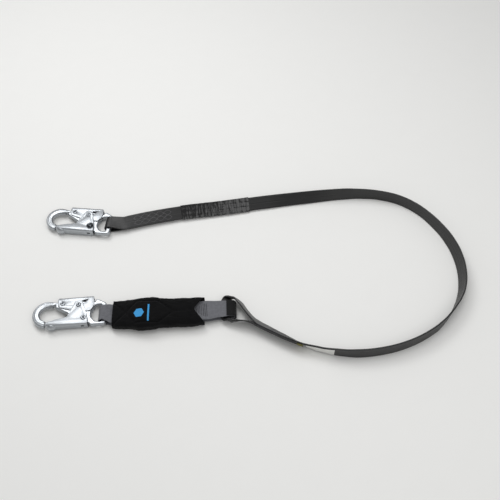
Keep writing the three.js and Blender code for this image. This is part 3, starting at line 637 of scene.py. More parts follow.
class Trail:
    """A smooth line through marks, with a width direction, a width and a thickness."""

    def __init__(self, points, widths, sizes, spacing=2.5 * MM):
        points = np.array([tuple(p) for p in points], float)
        widths = np.array([tuple(w) for w in widths], float)
        sizes = np.array(sizes, float)
        place, share = self.curve(points, 24)
        step = np.linalg.norm(np.diff(place, axis=0), axis=1)
        walked = np.concatenate([[0], np.cumsum(step)])
        self.length = walked[-1]
        count = max(4, int(round(self.length / spacing)))
        self.at = np.linspace(0, self.length, count + 1)
        share = np.interp(self.at, walked, share)
        self.place = np.stack([np.interp(self.at, walked, place[:, k]) for k in range(3)], 1)
        self.tangent = np.gradient(self.place, self.at, axis=0)
        self.tangent /= np.linalg.norm(self.tangent, axis=1)[:, None]
        low = np.minimum(share.astype(int), len(points) - 2)
        part = share - low
        part = (part * part * (3 - 2 * part))[:, None]
        across = widths[low] * (1 - part) + widths[low + 1] * part
        across -= self.tangent * np.sum(across * self.tangent, axis=1)[:, None]
        self.across = across / np.linalg.norm(across, axis=1)[:, None]
        self.normal = np.cross(self.tangent, self.across)
        size = sizes[low] * (1 - part) + sizes[low + 1] * part
        self.wide, self.thick = size[:, 0], size[:, 1]

    @staticmethod
    def curve(points, count):
        """A centripetal Catmull-Rom line, and how many marks each point is along it."""
        padded = np.vstack([2 * points[0] - points[1], points, 2 * points[-1] - points[-2]])
        places, shares = [], []
        for i in range(len(points) - 1):
            p = padded[i : i + 4]
            gap = [max(1e-6, np.linalg.norm(p[k + 1] - p[k]) ** 0.5) for k in range(3)]
            slope = (p[2] - p[1]) / gap[1]
            first = (p[1] - p[0]) / gap[0] - (p[2] - p[0]) / (gap[0] + gap[1]) + slope
            last = slope - (p[3] - p[1]) / (gap[1] + gap[2]) + (p[3] - p[2]) / gap[2]
            t = np.linspace(0, 1, count, endpoint=False)[:, None]
            rise = (2 * t**3 - 3 * t**2 + 1) * p[1] + (3 * t**2 - 2 * t**3) * p[2]
            rise += gap[1] * ((t**3 - 2 * t**2 + t) * first + (t**3 - t**2) * last)
            places.append(rise)
            shares.append(i + t[:, 0])
        places.append(points[-1:])
        shares.append([len(points) - 1.0])
        return np.vstack(places), np.concatenate(shares)

    def part(self, start, end):
        """The stretch between two distances along the trail."""
        piece = object.__new__(Trail)
        inside = self.at[(self.at > start + 1e-5) & (self.at < end - 1e-5)]
        piece.at = np.concatenate([[start], inside, [end]])
        for name in ("place", "tangent", "across", "normal"):
            columns = getattr(self, name)
            new = [np.interp(piece.at, self.at, columns[:, k]) for k in range(3)]
            setattr(piece, name, np.stack(new, 1))
        for name in ("wide", "thick"):
            setattr(piece, name, np.interp(piece.at, self.at, getattr(self, name)))
        piece.length = end - start
        return piece

    def raised(self, height, width=None, thickness=None):
        """The same trail moved along its face, with another width or thickness."""
        piece = object.__new__(Trail)
        piece.__dict__.update(self.__dict__)
        piece.place = self.place + self.normal * height
        if width:
            piece.wide = np.full(len(self.at), width)
        if thickness:
            piece.thick = np.full(len(self.at), thickness)
        return piece

    def on(self, distance, across, height):
        """A point over the trail, and its along, across and up directions."""
        def mixed(columns):
            return Vector([np.interp(distance, self.at, columns[:, k]) for k in range(3)])

        along, side, up = mixed(self.tangent), mixed(self.across), mixed(self.normal)
        return mixed(self.place) + side * across + up * height, along, side, up


def webbing_profile(rows=4, crown=0.1, edge=0.34):
    """A webbing section as half widths and half thicknesses: rows and a round selvedge."""
    count = rows * 4
    top = []
    for i in range(count + 1):
        a = -1 + edge * 0.12 + (2 - edge * 0.24) * i / count
        top.append((a, 1 - crown * (0.5 + 0.5 * math.cos(2 * math.pi * rows * i / count))))
    side = [(1.0, 0.45), (1.0, -0.45)]
    bottom = [(a, -b) for a, b in reversed(top)]
    return top[::-1] + [(-1.0, 0.45), (-1.0, -0.45)] + bottom[::-1] + side[::-1]


def band(name, trail, profile):
    """A closed band along a trail, with a UV map in metres along and across it."""
    ring = len(profile)
    sections = len(trail.at)
    a = np.array([p[0] for p in profile])
    b = np.array([p[1] for p in profile])
    vertices = (
        trail.place[:, None, :]
        + trail.across[:, None, :] * (a[None, :, None] * trail.wide[:, None, None] / 2)
        + trail.normal[:, None, :] * (b[None, :, None] * trail.thick[:, None, None] / 2)
    ).reshape(-1, 3)
    faces = []
    for i in range(sections - 1):
        for j in range(ring):
            k = (j + 1) % ring
            faces.append((i * ring + j, i * ring + k, (i + 1) * ring + k, (i + 1) * ring + j))
    faces.append(tuple(range(ring))[::-1])
    faces.append(tuple((sections - 1) * ring + j for j in range(ring)))
    mesh = bpy.data.meshes.new(name)
    mesh.from_pydata([tuple(v) for v in vertices], [], faces)
    layer = mesh.uv_layers.new(name="Webbing")
    for loop in mesh.loops:
        i, j = divmod(loop.vertex_index, ring)
        layer.data[loop.index].uv = (trail.at[i], a[j] * trail.wide[i] / 2)
    work = bmesh.new()
    work.from_mesh(mesh)
    if work.calc_volume(signed=True) < 0:
        bmesh.ops.reverse_faces(work, faces=work.faces)
    work.to_mesh(mesh)
    work.free()
    return as_object(name, mesh)


def stitch_shape():
    """One stitch, a bead of thread one unit long, modelled once for every seam."""
    if "stitch" not in MADE:
        deselect()
        bpy.ops.mesh.primitive_uv_sphere_add(segments=6, ring_count=5, radius=0.5)
        bead = bpy.context.object
        bpy.ops.transform.rotate(
            value=math.pi / 2, orient_axis="Y", center_override=(0, 0, 0)
        )
        bpy.ops.object.transform_apply(location=True, rotation=True, scale=True)
        shape = [tuple(v.co) for v in bead.data.vertices]
        faces = [tuple(f.vertices) for f in bead.data.polygons]
        MADE["stitch"] = (np.array(shape), faces)
        bpy.data.objects.remove(bead)
    return MADE["stitch"]


def seam(name, stitches, thickness):
    """Copies of the stitch, each laid between two points of a face."""
    shape, faces = stitch_shape()
    vertices, polygons = [], []
    for start, end, up in stitches:
        along = end - start
        length = along.length
        along.normalize()
        side = up.cross(along).normalized()
        up = along.cross(side)
        turn = np.array([along * length * 1.1, side * thickness, up * thickness * 0.7])
        first = len(vertices)
        vertices.extend(map(tuple, shape @ turn + np.array((start + end) / 2)))
        polygons.extend(tuple(first + i for i in face) for face in faces)
    mesh = bpy.data.meshes.new(name)
    mesh.from_pydata(vertices, [], polygons)
    mesh.validate()
    piece = as_object(name, mesh)
    take(piece)
    bpy.ops.object.mode_set(mode="EDIT")
    bpy.ops.mesh.select_all(action="SELECT")
    bpy.ops.mesh.normals_make_consistent(inside=False)
    bpy.ops.object.mode_set(mode="OBJECT")
    return piece


def stitches_on(trail, line, pitch, height):
    """Stitches along a line of (distance, across) points on a trail's face."""
    corners = [Vector(p) for p in line]
    found = []
    for start, end in zip(corners, corners[1:]):
        count = max(1, round((end - start).length / pitch))
        for i in range(count):
            a = start.lerp(end, (i + 0.12) / count)
            b = start.lerp(end, (i + 0.88) / count)
            here, _, _, up = trail.on(a[0], a[1], height)
            there = trail.on(b[0], b[1], height)[0]
            found.append((here, there, up))
    return found


def lens_rows(start, end, ovals, half, rows):
    """Weaving lines that cross to make chains of ovals, rows of them side by side."""
    lines = []
    pitch = 2 * half / rows
    for row in range(rows):
        middle = (row - (rows - 1) / 2) * pitch
        for side in (1, -1):
            line = []
            for i in range(ovals * 8 + 1):
                t = i / (ovals * 8)
                across = middle + side * pitch * 0.46 * math.sin(math.pi * ovals * t)
                line.append((start + (end - start) * t, across))
            lines.append(line)
    return lines


# ------------------------------------------------------------------------- the strap


def run_trail():
    """The strap's free run, from the anchor loop to the pack loop."""
    sizes = settings("strap")
    points = [Vector(mark[:3]) for mark in STRAP_ROUTE]
    widths = []
    for i, mark in enumerate(STRAP_ROUTE):
        before = points[max(0, i - 1)]
        after = points[min(len(points) - 1, i + 1)]
        along = (after - before).normalized()
        left = Vector((-along.y, along.x, 0)).normalized()
        lean = math.radians(mark[3])
        widths.append(left * math.cos(lean) + Vector((0, 0, math.sin(lean))))
    size = [(sizes.width, sizes.thickness)] * len(points)
    return Trail(points, widths, size)


def pack_place(x, y, z):
    """Millimetres along, across and above the pack's axis, as a point in metres."""
    turned = Matrix.Rotation(PACK_TURN, 3, "Z") @ Vector((x, y, 0))
    base = joint_place("harness_hook_swing")
    return Vector((base.x + turned.x * MM, base.y + turned.y * MM, z * MM))


def pack_direction(x, y, z=0.0):
    return Matrix.Rotation(PACK_TURN, 3, "Z") @ Vector((x, y, z))


def anchor_loop_trail():
    """Round the anchor hook's eye bar, from the run's start back under to its tail."""
    run = run_trail()
    top, along, side, up = run.on(0, 0, 0)
    low = top - up * STRAP_LAYER
    bar = joint_place("anchor_hook_swing")
    axis = joint_axis("anchor_hook_swing")
    out = axis.cross(Vector((0, 0, 1)))
    centre = bar + axis * 4 * MM
    points, widths = [], []
    for reach in (0, 6, 12):
        points.append(top - along * reach * MM)
        widths.append(side.lerp(axis, reach / 36))
    for i in range(9):
        angle = math.radians(90 + 180 * i / 8)
        flat = out * math.cos(angle) + Vector((0, 0, math.sin(angle)))
        points.append(centre + flat * TURN_RADIUS)
        widths.append(axis)
    for reach in (12, 6, 0):
        points.append(low - along * reach * MM)
        widths.append(side.lerp(axis, reach / 36))
    sizes = settings("strap")
    size = [(sizes.width, sizes.thickness)] * len(points)
    return Trail(points, widths, size, 1.5 * MM)


def pack_loop_trail():
    """Through the pack's rear loop and back to the tail."""
    run = run_trail()
    main, along, side, up = run.on(run.length, 0, 0)
    tail = main - up * STRAP_LAYER
    sizes = settings("strap")
    whole = (sizes.width, sizes.thickness)
    points = [main, main + along * 6 * MM]
    widths = [side, side]
    size = [whole, whole]
    for ahead, far, high, width, wide, thick in PACK_LOOP:
        points.append(pack_place(REAR_MIDDLE + ahead, far, high))
        widths.append(pack_direction(*width))
        size.append((wide * MM, thick * MM))
    points += [tail + along * 6 * MM, tail]
    widths += [side, side]
    size += [whole, whole]
    return Trail(points, widths, size, 1.5 * MM)


class LANYARD_OT_strap(bpy.types.Operator):
    """Makes the strap's run and what is sewn, shrunk and stuck on it"""

    bl_idname = "lanyard.strap"
    bl_label = "Strap"

    def execute(self, context):
        run = run_trail()
        profile = webbing_profile()
        coated = finish(coated_webbing)
        strap = band("strap_run", run, profile)
        dress(strap, coated, "strap")
        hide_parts("strap_webbing")

        under = run.raised(-STRAP_LAYER)
        anchor_tail = band("anchor_tail", under.part(0, TAIL_AT_ANCHOR), profile)
        dress(anchor_tail, coated, "strap")
        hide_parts("strap_anchor_tail")
        pack_tail = band("pack_tail", under.part(run.length - TAIL_AT_PACK, run.length), profile)
        dress(pack_tail, coated, "strap")
        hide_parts("strap_pack_tail")

        tip = run.length - TAIL_AT_PACK
        narrow = settings("strap").width * NARROW_SHARE
        bound = under.part(tip - BINDING_LENGTH, tip + BINDING_OVERLAP)
        bound = bound.raised(0, narrow, BINDING_THICKNESS)
        binding = band("tail_binding", bound, profile)
        tape = finish(woven_webbing, "olive_binding_tape", linear("6f6a3c"), 1.1 * MM)
        dress(binding, tape, "strap")
        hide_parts("strap_tail_binding")

        tag_end = tip - BINDING_LENGTH - TAG_GAP
        paper = run.part(tag_end - TAG_LENGTH, tag_end)
        paper = paper.raised(-TAG_DEPTH, narrow, TAG_THICKNESS)
        tag = band("strap_tag_film", paper, webbing_profile(1, 0.0))
        dress(tag, finish(tag_film), "strap")
        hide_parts("strap_tag")

        sleeve = self.sleeve(run)
        threads_made = self.stitching(run)
        settings("strap").width
        return {"FINISHED"}

    def sleeve(self, run):
        """The clear shrink tube: a wrinkled skin close on the strap, open at both ends."""
        sizes = settings("strap")
        stretch = run.part(*SLEEVE_STRETCH)
        skin = stretch.raised(0, sizes.width + 2.6 * MM, sizes.thickness + 2.2 * MM)
        ease = np.minimum(skin.at - skin.at[0], skin.at[-1] - skin.at)
        lip = 0.5 * MM * np.exp(-ease / (2 * MM))
        skin.thick = skin.thick - lip
        piece = band("clear_sleeve", skin, webbing_profile(3, 0.12))
        take(piece)
        bpy.ops.object.mode_set(mode="EDIT")
        bpy.ops.mesh.select_all(action="DESELECT")
        bpy.ops.object.mode_set(mode="OBJECT")
        for face in piece.data.polygons:
            face.select = len(face.vertices) > 4
        bpy.ops.object.mode_set(mode="EDIT")
        bpy.ops.mesh.delete(type="FACE")
        bpy.ops.object.mode_set(mode="OBJECT")
        for vertex in piece.data.vertices:
            ripple = noise.noise(vertex.co * 140) + 0.5 * noise.noise(vertex.co * 330)
            vertex.co += vertex.normal * ripple * 0.25 * MM
        modify(piece, "SOLIDIFY", thickness=0.45 * MM, offset=-1)
        dress(piece, finish(shrink_film), "strap")
        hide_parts("strap_clear_sleeve")
        return piece

    def stitching(self, run):
        """The thread over and under each tail, sewn in chains of ovals."""
        tip = run.length - TAIL_AT_PACK
        anchor = self.oval_rows(run, "anchor", 7 * MM, TAIL_AT_ANCHOR - 3 * MM, ANCHOR_OVALS)
        pack = self.oval_rows(run, "pack", tip + 7 * MM, run.length - 16 * MM, PACK_OVALS)
        return [anchor, pack]

    def oval_rows(self, run, end_name, start, end, ovals):
        sizes = settings("strap")
        face = sizes.thickness / 2 + THREAD_LIFT
        found = []
        for line in lens_rows(start, end, ovals, sizes.width * STITCHED_SHARE, OVAL_ROWS):
            found += stitches_on(run, line, STITCH_PITCH, face)
            found += stitches_on(run, line, STITCH_PITCH, -face - STRAP_LAYER)
        piece = seam(end_name + "_stitches", found, 1.0 * MM)
        dress(piece, strap_thread(), "strap")
        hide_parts("strap_" + end_name + "_stitch")
        return piece


class LANYARD_OT_strap_loops(bpy.types.Operator):
    """Makes the strap's two end loops, round the hook's eye and through the pack's loop"""

    bl_idname = "lanyard.strap_loops"
    bl_label = "Strap loops"

    def execute(self, context):
        profile = webbing_profile()
        anchor = band("anchor_loop", anchor_loop_trail(), profile)
        dress(anchor, finish(coated_webbing), "strap")
        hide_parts("strap_anchor_loop")
        pack = band("pack_loop", pack_loop_trail(), profile)
        dress(pack, finish(coated_webbing), None)
        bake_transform(pack)
        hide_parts("strap_pack_loop")
        return {"FINISHED"}


# -------------------------------------------------------------------- the snap hooks


class LANYARD_OT_forged_frames(bpy.types.Operator):
    """Rounds the forged hook frames"""

    bl_idname = "lanyard.forged_frames"
    bl_label = "Forged frames"

    def execute(self, context):
        for end in ENDS:
            node = end + "_hook_frame"
            piece = copy_of(node, end + "_forging")
            modify(piece, "REMESH", mode="VOXEL", voxel_size=settings("hooks").forging_grain)
            modify(piece, "SMOOTH", factor=0.5, iterations=12)
            dress(piece, finish(zinc_plated_forging), end + "_hook", 180)
            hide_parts(node)
        return {"FINISHED"}


class LANYARD_OT_pressings(bpy.types.Operator):
    """Rounds the edges of the gates and lock levers"""

    bl_idname = "lanyard.pressings"
    bl_label = "Gates and levers"

    def execute(self, context):
        for end in ENDS:
            for node, body in (("_gate", "_gate"), ("_lock_lever", "_lock")):
                piece = copy_of(end + node, end + node + "_pressing")
                take(piece)
                bpy.ops.object.mode_set(mode="EDIT")
                bpy.ops.mesh.select_all(action="SELECT")
                bpy.ops.mesh.dissolve_limited(angle_limit=math.radians(2))
                bpy.ops.object.mode_set(mode="OBJECT")
                modify(
                    piece,
                    "BEVEL",
                    width=settings("hooks").edge,
                    segments=2,
                    limit_method="ANGLE",
                    angle_limit=math.radians(50),
                )
                dress(piece, finish(zinc_plated_pressing), end + body, 35)
                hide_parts(end + node)
        return {"FINISHED"}


class LANYARD_OT_rivets(bpy.types.Operator):
    """Makes the domed rivet heads with their dimples, and the pins between them"""

    bl_idname = "lanyard.rivets"
    bl_label = "Rivets"

    def execute(self, context):
        bodies = {"gate_rivet": "hook", "lock_rivet": "hook", "lock_pin": "gate"}
        for end in ENDS:
            for rivet, body in bodies.items():
                node = end + "_" + rivet
                piece = self.rivet(node)
                dress(piece, finish(plated_rivet_steel), end + "_" + body, 50)
                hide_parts(node)
        return {"FINISHED"}

    def rivet(self, node):
        low, high = (Vector(corner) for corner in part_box(node))
        middle = (low + high) / 2
        radius = (high.x - low.x) / 2
        deselect()
        bpy.ops.mesh.primitive_cylinder_add(
            vertices=32, radius=radius * 0.66, depth=high.z - low.z, location=middle
        )
        piece = bpy.context.object
        piece.name = node + "_headed"
        for side in (1, -1):
            bpy.ops.object.mode_set(mode="OBJECT")
            for face in piece.data.polygons:
                face.select = face.normal.z * side > 0.9
            bpy.ops.object.mode_set(mode="EDIT")
            bpy.ops.mesh.select_mode(type="FACE")
            self.push(0, 1.0, side)
            self.push(-1.2 * MM, 1 / 0.66, side)
            self.push(0.55 * MM, 1.0, side)
            self.push(0.4 * MM, 0.9, side)
            self.push(0.2 * MM, 0.8, side)
            self.push(0.05 * MM, 0.7, side)
            self.push(-0.1 * MM, 0.8, side)
            self.push(-0.55 * MM, 0.55, side)
        bpy.ops.object.mode_set(mode="OBJECT")
        bpy.ops.object.transform_apply(location=True, rotation=True, scale=True)
        return piece

    def push(self, height, scale, side):
        """Extrudes the selected end face, moves it outwards by height and resizes it."""
        bpy.ops.mesh.extrude_region_move(
            TRANSFORM_OT_translate={"value": (0, 0, height * side)}
        )
        bpy.ops.transform.resize(value=(scale, scale, 1))


class LANYARD_OT_hidden_pieces(bpy.types.Operator):
    """Finishes the springs and the tear webbing that the CAD model holds"""

    bl_idname = "lanyard.hidden_pieces"
    bl_label = "Springs and tear webbing"

    def execute(self, context):
        for end in ENDS:
            for spring in ("_gate_spring", "_lock_spring"):
                self.dress_node(end + spring, finish(drawn_spring_wire))
        undyed = finish(woven_webbing, "undyed_tear_webbing", linear("b9b4a4"), 1.2 * MM)
        self.dress_node("pack_tear_web", undyed)
        return {"FINISHED"}

    def dress_node(self, node, material):
        mesh = frame["nodes"][node].data
        for index in range(len(mesh.materials)):
            mesh.materials[index] = material


# ------------------------------------------------------------------------- the pack


def edges_at(edges, x):
    """The middle and the width of a webbing at a distance along the pack."""
    near, far = (np.interp(x, [e[0] for e in edges], [e[k] for e in edges]) for k in (1, 2))
    return (near + far) / 2, far - near


def side_loop(root, knee, tip, edges, thickness):
    """A webbing loop from a side view: out along its top, round the tip and back.

    The root and the knee are a distance, a height and half the gap between the layers;
    the tip is a distance, a height and the radius of the turn's middle line.
    """
    toward = 1 if tip[0] < root[0] else -1
    top, bottom = [], []
    stops = [root] + ([knee] if knee else [])
    for x, z, half in stops:
        top.append((x, z + half))
        bottom.append((x, z - half))
    x, z, half = stops[-1]
    halfway = (x + tip[0]) / 2
    top.append((halfway, (z + half + tip[1] + tip[2]) / 2))
    bottom.append((halfway, (z - half + tip[1] - tip[2]) / 2))
    turn = []
    for i in range(7):
        angle = math.radians(90 + toward * 180 * i / 6)
        turn.append((tip[0] + tip[2] * math.cos(angle), tip[1] + tip[2] * math.sin(angle)))
    points, size = [], []
    for x, z in [*top, *turn, *bottom[::-1]]:
        middle, width = edges_at(edges, x)
        points.append(pack_place(x, middle, z))
        size.append((width * MM, thickness))
    return Trail(points, [pack_direction(0, 1)] * len(points), size, 1.5 * MM)


class LANYARD_OT_load_webbing(bpy.types.Operator):
    """Makes the grey load webbing's front and rear loops and the black wear sleeve"""

    bl_idname = "lanyard.load_webbing"
    bl_label = "Load webbing"

    def execute(self, context):
        thickness = settings("pack").webbing_thickness
        profile = webbing_profile(6, 0.16)
        front_trail = side_loop(*FRONT_SIDE, FRONT_EDGES, thickness)
        front = band("front_loop", front_trail, profile)
        dress(front, grey_webbing(), "pack")
        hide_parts("pack_front_loop")
        rear_trail = side_loop(*REAR_SIDE, REAR_EDGES, thickness)
        rear = band("rear_loop", rear_trail, profile)
        dress(rear, grey_webbing(), "pack")
        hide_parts("pack_rear_loop")
        wear_trail = side_loop(*WEAR_SIDE, WEAR_EDGES, WEAR_THICKNESS)
        wear = band("wear_sleeve", wear_trail, webbing_profile(3, 0.1))
        cloth = finish(woven_webbing, "black_wear_webbing", linear("101011"), 1.1 * MM)
        dress(wear, cloth, "pack")
        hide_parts("pack_wear_sleeve")
        self.stitching(rear_trail)
        return {"FINISHED"}

    def stitching(self, rear):
        """Rows of thread across the webbing, from the cover's notch to behind it."""
        found = []
        face = settings("pack").webbing_thickness / 2 + THREAD_LIFT
        for column in range(8):
            place = (15 + column * 3.1) * MM
            half = (2 + column * 2.1) * MM if column < 6 else 14 * MM
            line = [(place, -half), (place, half)]
            found += stitches_on(rear, line, 2.6 * MM, face)
        piece = seam("rear_stitches", found, 1.2 * MM)
        dress(piece, finish(bonded_thread, "black_thread", linear("1c1c1e")), "pack")
        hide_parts("pack_rear_stitch")


def cover_section(x):
    """The cover's half width, half height, middle height and middle side at a distance."""
    stations = np.array(COVER_SECTIONS, float)
    return [float(np.interp(x, stations[:, 0], stations[:, k])) for k in (1, 2, 3, 4)]


def squared(value, power=0.6):
    return math.copysign(abs(value) ** power, value) if abs(value) > 1e-9 else 0.0


def seam_distance(x, y):
    """Distance in millimetres from the nearest sewn line of the cover."""
    here = Vector((x, y))
    nearest = 1e9
    for start, end in COVER_SEAMS:
        a, b = Vector(start), Vector(end)
        along = b - a
        t = max(0, min(1, (here - a).dot(along) / along.length_squared))
        nearest = min(nearest, (here - a.lerp(b, t)).length)
    return nearest


def cover_skin():
    """The cover's skin a little slack, as rows of points round the pack."""
    front = COVER_SECTIONS[0][0]
    rear = COVER_SECTIONS[-1][0]
    rows = []
    for i in range(COVER_ROWS + 1):
        row = []
        for j in range(COVER_AROUND):
            angle = 2 * math.pi * j / COVER_AROUND
            end = rear
            if math.sin(angle) > 0:
                end -= COVER_NOTCH * (1 - abs(squared(math.cos(angle))))
            x = front + (end - front) * i / COVER_ROWS
            half, tall, middle, side = cover_section(x)
            y = side + (half - COVER_SLACK) * squared(math.cos(angle))
            z = middle + (tall - COVER_SLACK) * squared(math.sin(angle))
            row.append(pack_place(x, y, z))
        rows.append(row)
    return rows


def on_pack(place):
    """A point's millimetres along the pack, to its far side and up."""
    base = joint_place("harness_hook_swing")
    flat = Matrix.Rotation(-PACK_TURN, 3, "Z") @ (Vector(place) - base)
    return Vector((flat.x, flat.y, place[2])) / MM


class LANYARD_OT_cover(bpy.types.Operator):
    """Makes the pack's sewn cloth cover: swells it between its seams, then sews them in"""

    bl_idname = "lanyard.cover"
    bl_label = "Cover"

    def execute(self, context):
        rows = cover_skin()
        vertices = [tuple(p) for row in rows for p in row]
        faces = []
        for i in range(COVER_ROWS):
            for j in range(COVER_AROUND):
                k = (j + 1) % COVER_AROUND
                near, far = i * COVER_AROUND, (i + 1) * COVER_AROUND
                faces.append((near + j, far + j, far + k, near + k))
        mesh = bpy.data.meshes.new("pack_cloth_cover")
        mesh.from_pydata(vertices, [], faces)
        piece = as_object("pack_cloth_cover", mesh)
        top = max(mesh.polygons, key=lambda face: face.center.z)
        if top.normal.z < 0:
            mesh.flip_normals()
        self.swell(piece)
        modify(piece, "SUBSURF", levels=1, render_levels=1)
        self.sew(piece)
        modify(piece, "SOLIDIFY", thickness=settings("pack").wall, offset=-1)
        dress(piece, finish(cover_cloth), "pack", 60)
        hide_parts("pack_cover")
        return {"FINISHED"}

    def swell(self, piece):
        """Blows the cloth up between its pinned seams and ends, by no more than a little."""
        before = [v.co.copy() for v in piece.data.vertices]
        last = COVER_ROWS * COVER_AROUND
        pins = piece.vertex_groups.new(name="sewn")
        for vertex in piece.data.vertices:
            place = on_pack(vertex.co)
            middle = cover_section(place.x)[2]
            at_end = vertex.index < COVER_AROUND or vertex.index >= last
            sewn = place.z > middle and seam_distance(place.x, place.y) < SEWN_REACH
            if at_end or sewn or vertex.co.z < 1.6 * MM:
                pins.add([vertex.index], 1.0, "REPLACE")
        cloth = piece.modifiers.new("Cloth", "CLOTH")
        cloth.settings.quality = 5
        cloth.settings.mass = 0.3
        cloth.settings.tension_stiffness = 8
        cloth.settings.compression_stiffness = 8
        cloth.settings.bending_stiffness = 0.3
        cloth.settings.use_pressure = True
        cloth.settings.uniform_pressure_force = 4
        cloth.settings.vertex_group_mass = pins.name
        cloth.settings.effector_weights.gravity = 0
        cloth.point_cache.frame_start = 1
        cloth.point_cache.frame_end = CLOTH_STEPS
        scene = bpy.context.scene
        for step in range(1, CLOTH_STEPS + 1):
            scene.frame_set(step)
        take(piece)
        bpy.ops.object.modifier_apply(modifier=cloth.name)
        scene.frame_set(1)
        piece.vertex_groups.clear()
        for vertex, start in zip(piece.data.vertices, before):
            moved = vertex.co - start
            if moved.length > COVER_SWELL:
                vertex.co = start + moved * (COVER_SWELL / moved.length)
            vertex.co.z = max(vertex.co.z, 0.4 * MM)

    def sew(self, piece):
        """Draws the seams in as grooves and adds the cloth's creases."""
        moved = []
        for vertex in piece.data.vertices:
            place = on_pack(vertex.co)
            middle = cover_section(place.x)[2]
            outward = 0.0
            if place.z > middle:
                gap = seam_distance(place.x, place.y)
                pucker = 0.5 + 0.5 * noise.noise(place * 0.35)
                outward -= (1.5 + 0.6 * pucker) * math.exp(-((gap / 1.7) ** 2))
                outward -= 0.7 * pucker * math.exp(-((gap / 5) ** 2))
            outward += noise.noise(place * 0.07) * 0.9 + noise.noise(place * 0.2) * 0.5
            outward += noise.noise(Vector((place.x * 0.06, place.y * 0.35, 3))) * 0.55
            co = vertex.co + vertex.normal * outward * MM
            co.z = max(co.z, 0.35 * MM)
            moved.append(co)
        for vertex, co in zip(piece.data.vertices, moved):
            vertex.co = co
        piece.data.update()


class LANYARD_OT_cover_print(bpy.types.Operator):
    """Prints a plain six-sided badge and a bar on the cover"""

    bl_idname = "lanyard.cover_print"
    bl_label = "Cover print"

    def execute(self, context):
        badge = self.plate("badge_print", self.hexagon())
        stripe = self.plate("bar_print", self.bar())
        for piece in (badge, stripe):
            cover = bpy.data.objects["pack_cloth_cover"]
            modify(
                piece,
                "SHRINKWRAP",
                target=cover,
                wrap_method="PROJECT",
                use_project_z=True,
                use_negative_direction=True,
                use_positive_direction=False,
                offset=0.12 * MM,
            )
            modify(piece, "SOLIDIFY", thickness=0.25 * MM, offset=0)
            dress(piece, finish(printed_ink), "pack", 60)
        return {"FINISHED"}

    def hexagon(self):
        x, y = BADGE_PLACE
        turns = [math.pi * k / 3 for k in range(6)]
        return [(x + BADGE_RADIUS * math.cos(t), y + BADGE_RADIUS * math.sin(t)) for t in turns]

    def bar(self):
        x, y = BAR_PLACE
        w, h = BAR_SIZE[0] / 2, BAR_SIZE[1] / 2
        return [(x - w, y - h), (x + w, y - h), (x + w, y + h), (x - w, y + h)]

    def plate(self, name, outline):
        """A finely divided flat plate over the cover, inside an outline."""
        points = [pack_place(x, y, PRINT_HEIGHT) for x, y in outline]
        mesh = bpy.data.meshes.new(name)
        mesh.from_pydata([tuple(p) for p in points], [], [tuple(range(len(points)))])
        piece = as_object(name, mesh)
        take(piece)
        bpy.ops.object.mode_set(mode="EDIT")
        bpy.ops.mesh.select_all(action="SELECT")
        bpy.ops.mesh.quads_convert_to_tris()
        for _ in range(4):
            bpy.ops.mesh.subdivide()
        bpy.ops.object.mode_set(mode="OBJECT")
        return piece


# ------------------------------------------------------------------------- the stage


STAGE_CENTRE = (0.2167, 0.0458, 0)
LAMPS = (  # name, place in metres, size across and power in watts
    ("key", (-0.5, 0.9, 1.5), 0.9, 10),
    ("fill", (0.9, -0.9, 1.3), 1.0, 3.5),
    ("top", (0.2, 0.2, 1.9), 1.2, 9.5),
)
ROOM_LIGHT = 0.38


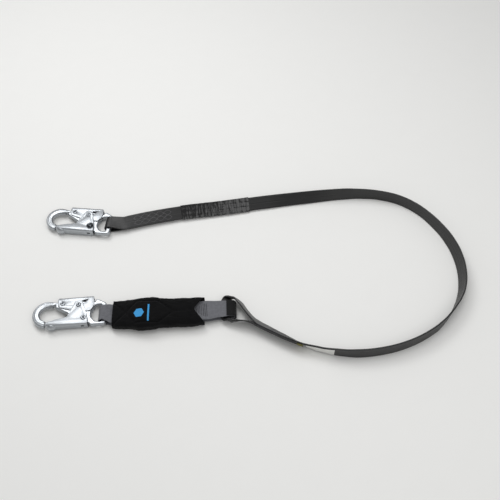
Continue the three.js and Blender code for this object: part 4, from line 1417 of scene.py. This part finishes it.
class LANYARD_OT_stage(bpy.types.Operator):
    """Makes the floor, the lights and the camera"""

    bl_idname = "lanyard.stage"
    bl_label = "Stage"

    def execute(self, context):
        stage = context.scene.lanyard_stage
        deselect()
        bpy.ops.mesh.primitive_plane_add(size=12, location=STAGE_CENTRE)
        floor = context.object
        floor.name = "floor"
        bpy.ops.object.transform_apply(location=True, rotation=True, scale=True)
        floor.data.materials.append(finish(painted_floor))

        target = Vector(STAGE_CENTRE)
        back = Vector((0, -math.cos(stage.elevation), math.sin(stage.elevation)))
        bpy.ops.object.camera_add(
            location=target + back * stage.distance,
            rotation=(math.pi / 2 - stage.elevation, 0, 0),
        )
        camera = context.object
        camera.data.lens = stage.lens
        camera.data.sensor_width = 36
        context.scene.camera = camera

        for name, place, size, power in LAMPS:
            self.lamp(name, place, target, size, power)
        context.scene.view_settings.view_transform = "Standard"
        world = bpy.data.worlds.new("studio")
        world.use_nodes = True
        world.node_tree.nodes["Background"].inputs["Color"].default_value = (1, 1, 1, 1)
        world.node_tree.nodes["Background"].inputs["Strength"].default_value = ROOM_LIGHT
        context.scene.world = world
        return {"FINISHED"}

    def lamp(self, name, place, target, size, power):
        bpy.ops.object.light_add(type="AREA", location=place)
        lamp = bpy.context.object
        lamp.name = name
        lamp.data.shape = "DISK"
        lamp.data.size = size
        lamp.data.energy = power
        look = target - Vector(place)
        lamp.rotation_euler = look.to_track_quat("-Z", "Y").to_euler()


class LANYARD_PT_panel(bpy.types.Panel):
    """Lists the lanyard's settings and the pieces to make"""

    bl_idname = "LANYARD_PT_panel"
    bl_label = "Shock Absorbing Lanyard"
    bl_space_type = "VIEW_3D"
    bl_region_type = "UI"
    bl_category = "Lanyard"

    def draw(self, context):
        for group, kind in SETTINGS.items():
            box = self.layout.box()
            box.label(text=group.title())
            for name in kind.__annotations__:
                box.prop(getattr(context.scene, "lanyard_" + group), name)
        for operator in OPERATORS:
            self.layout.operator(operator.bl_idname)


OPERATORS = (
    LANYARD_OT_stage,
    LANYARD_OT_strap,
    LANYARD_OT_strap_loops,
    LANYARD_OT_load_webbing,
    LANYARD_OT_cover,
    LANYARD_OT_cover_print,
    LANYARD_OT_forged_frames,
    LANYARD_OT_pressings,
    LANYARD_OT_rivets,
    LANYARD_OT_hidden_pieces,
)


def register():
    for kind in (*SETTINGS.values(), *OPERATORS, LANYARD_PT_panel):
        bpy.utils.register_class(kind)
    for group, kind in SETTINGS.items():
        setattr(bpy.types.Scene, "lanyard_" + group, bpy.props.PointerProperty(type=kind))


def unregister():
    for group in SETTINGS:
        delattr(bpy.types.Scene, "lanyard_" + group)
    for kind in (LANYARD_PT_panel, *reversed(OPERATORS), *SETTINGS.values()):
        bpy.utils.unregister_class(kind)


def main():
    register()
    for operator in OPERATORS:
        getattr(bpy.ops.lanyard, operator.bl_idname.split(".")[1])()
    deselect()
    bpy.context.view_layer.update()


if __name__ == "__main__":
    main()
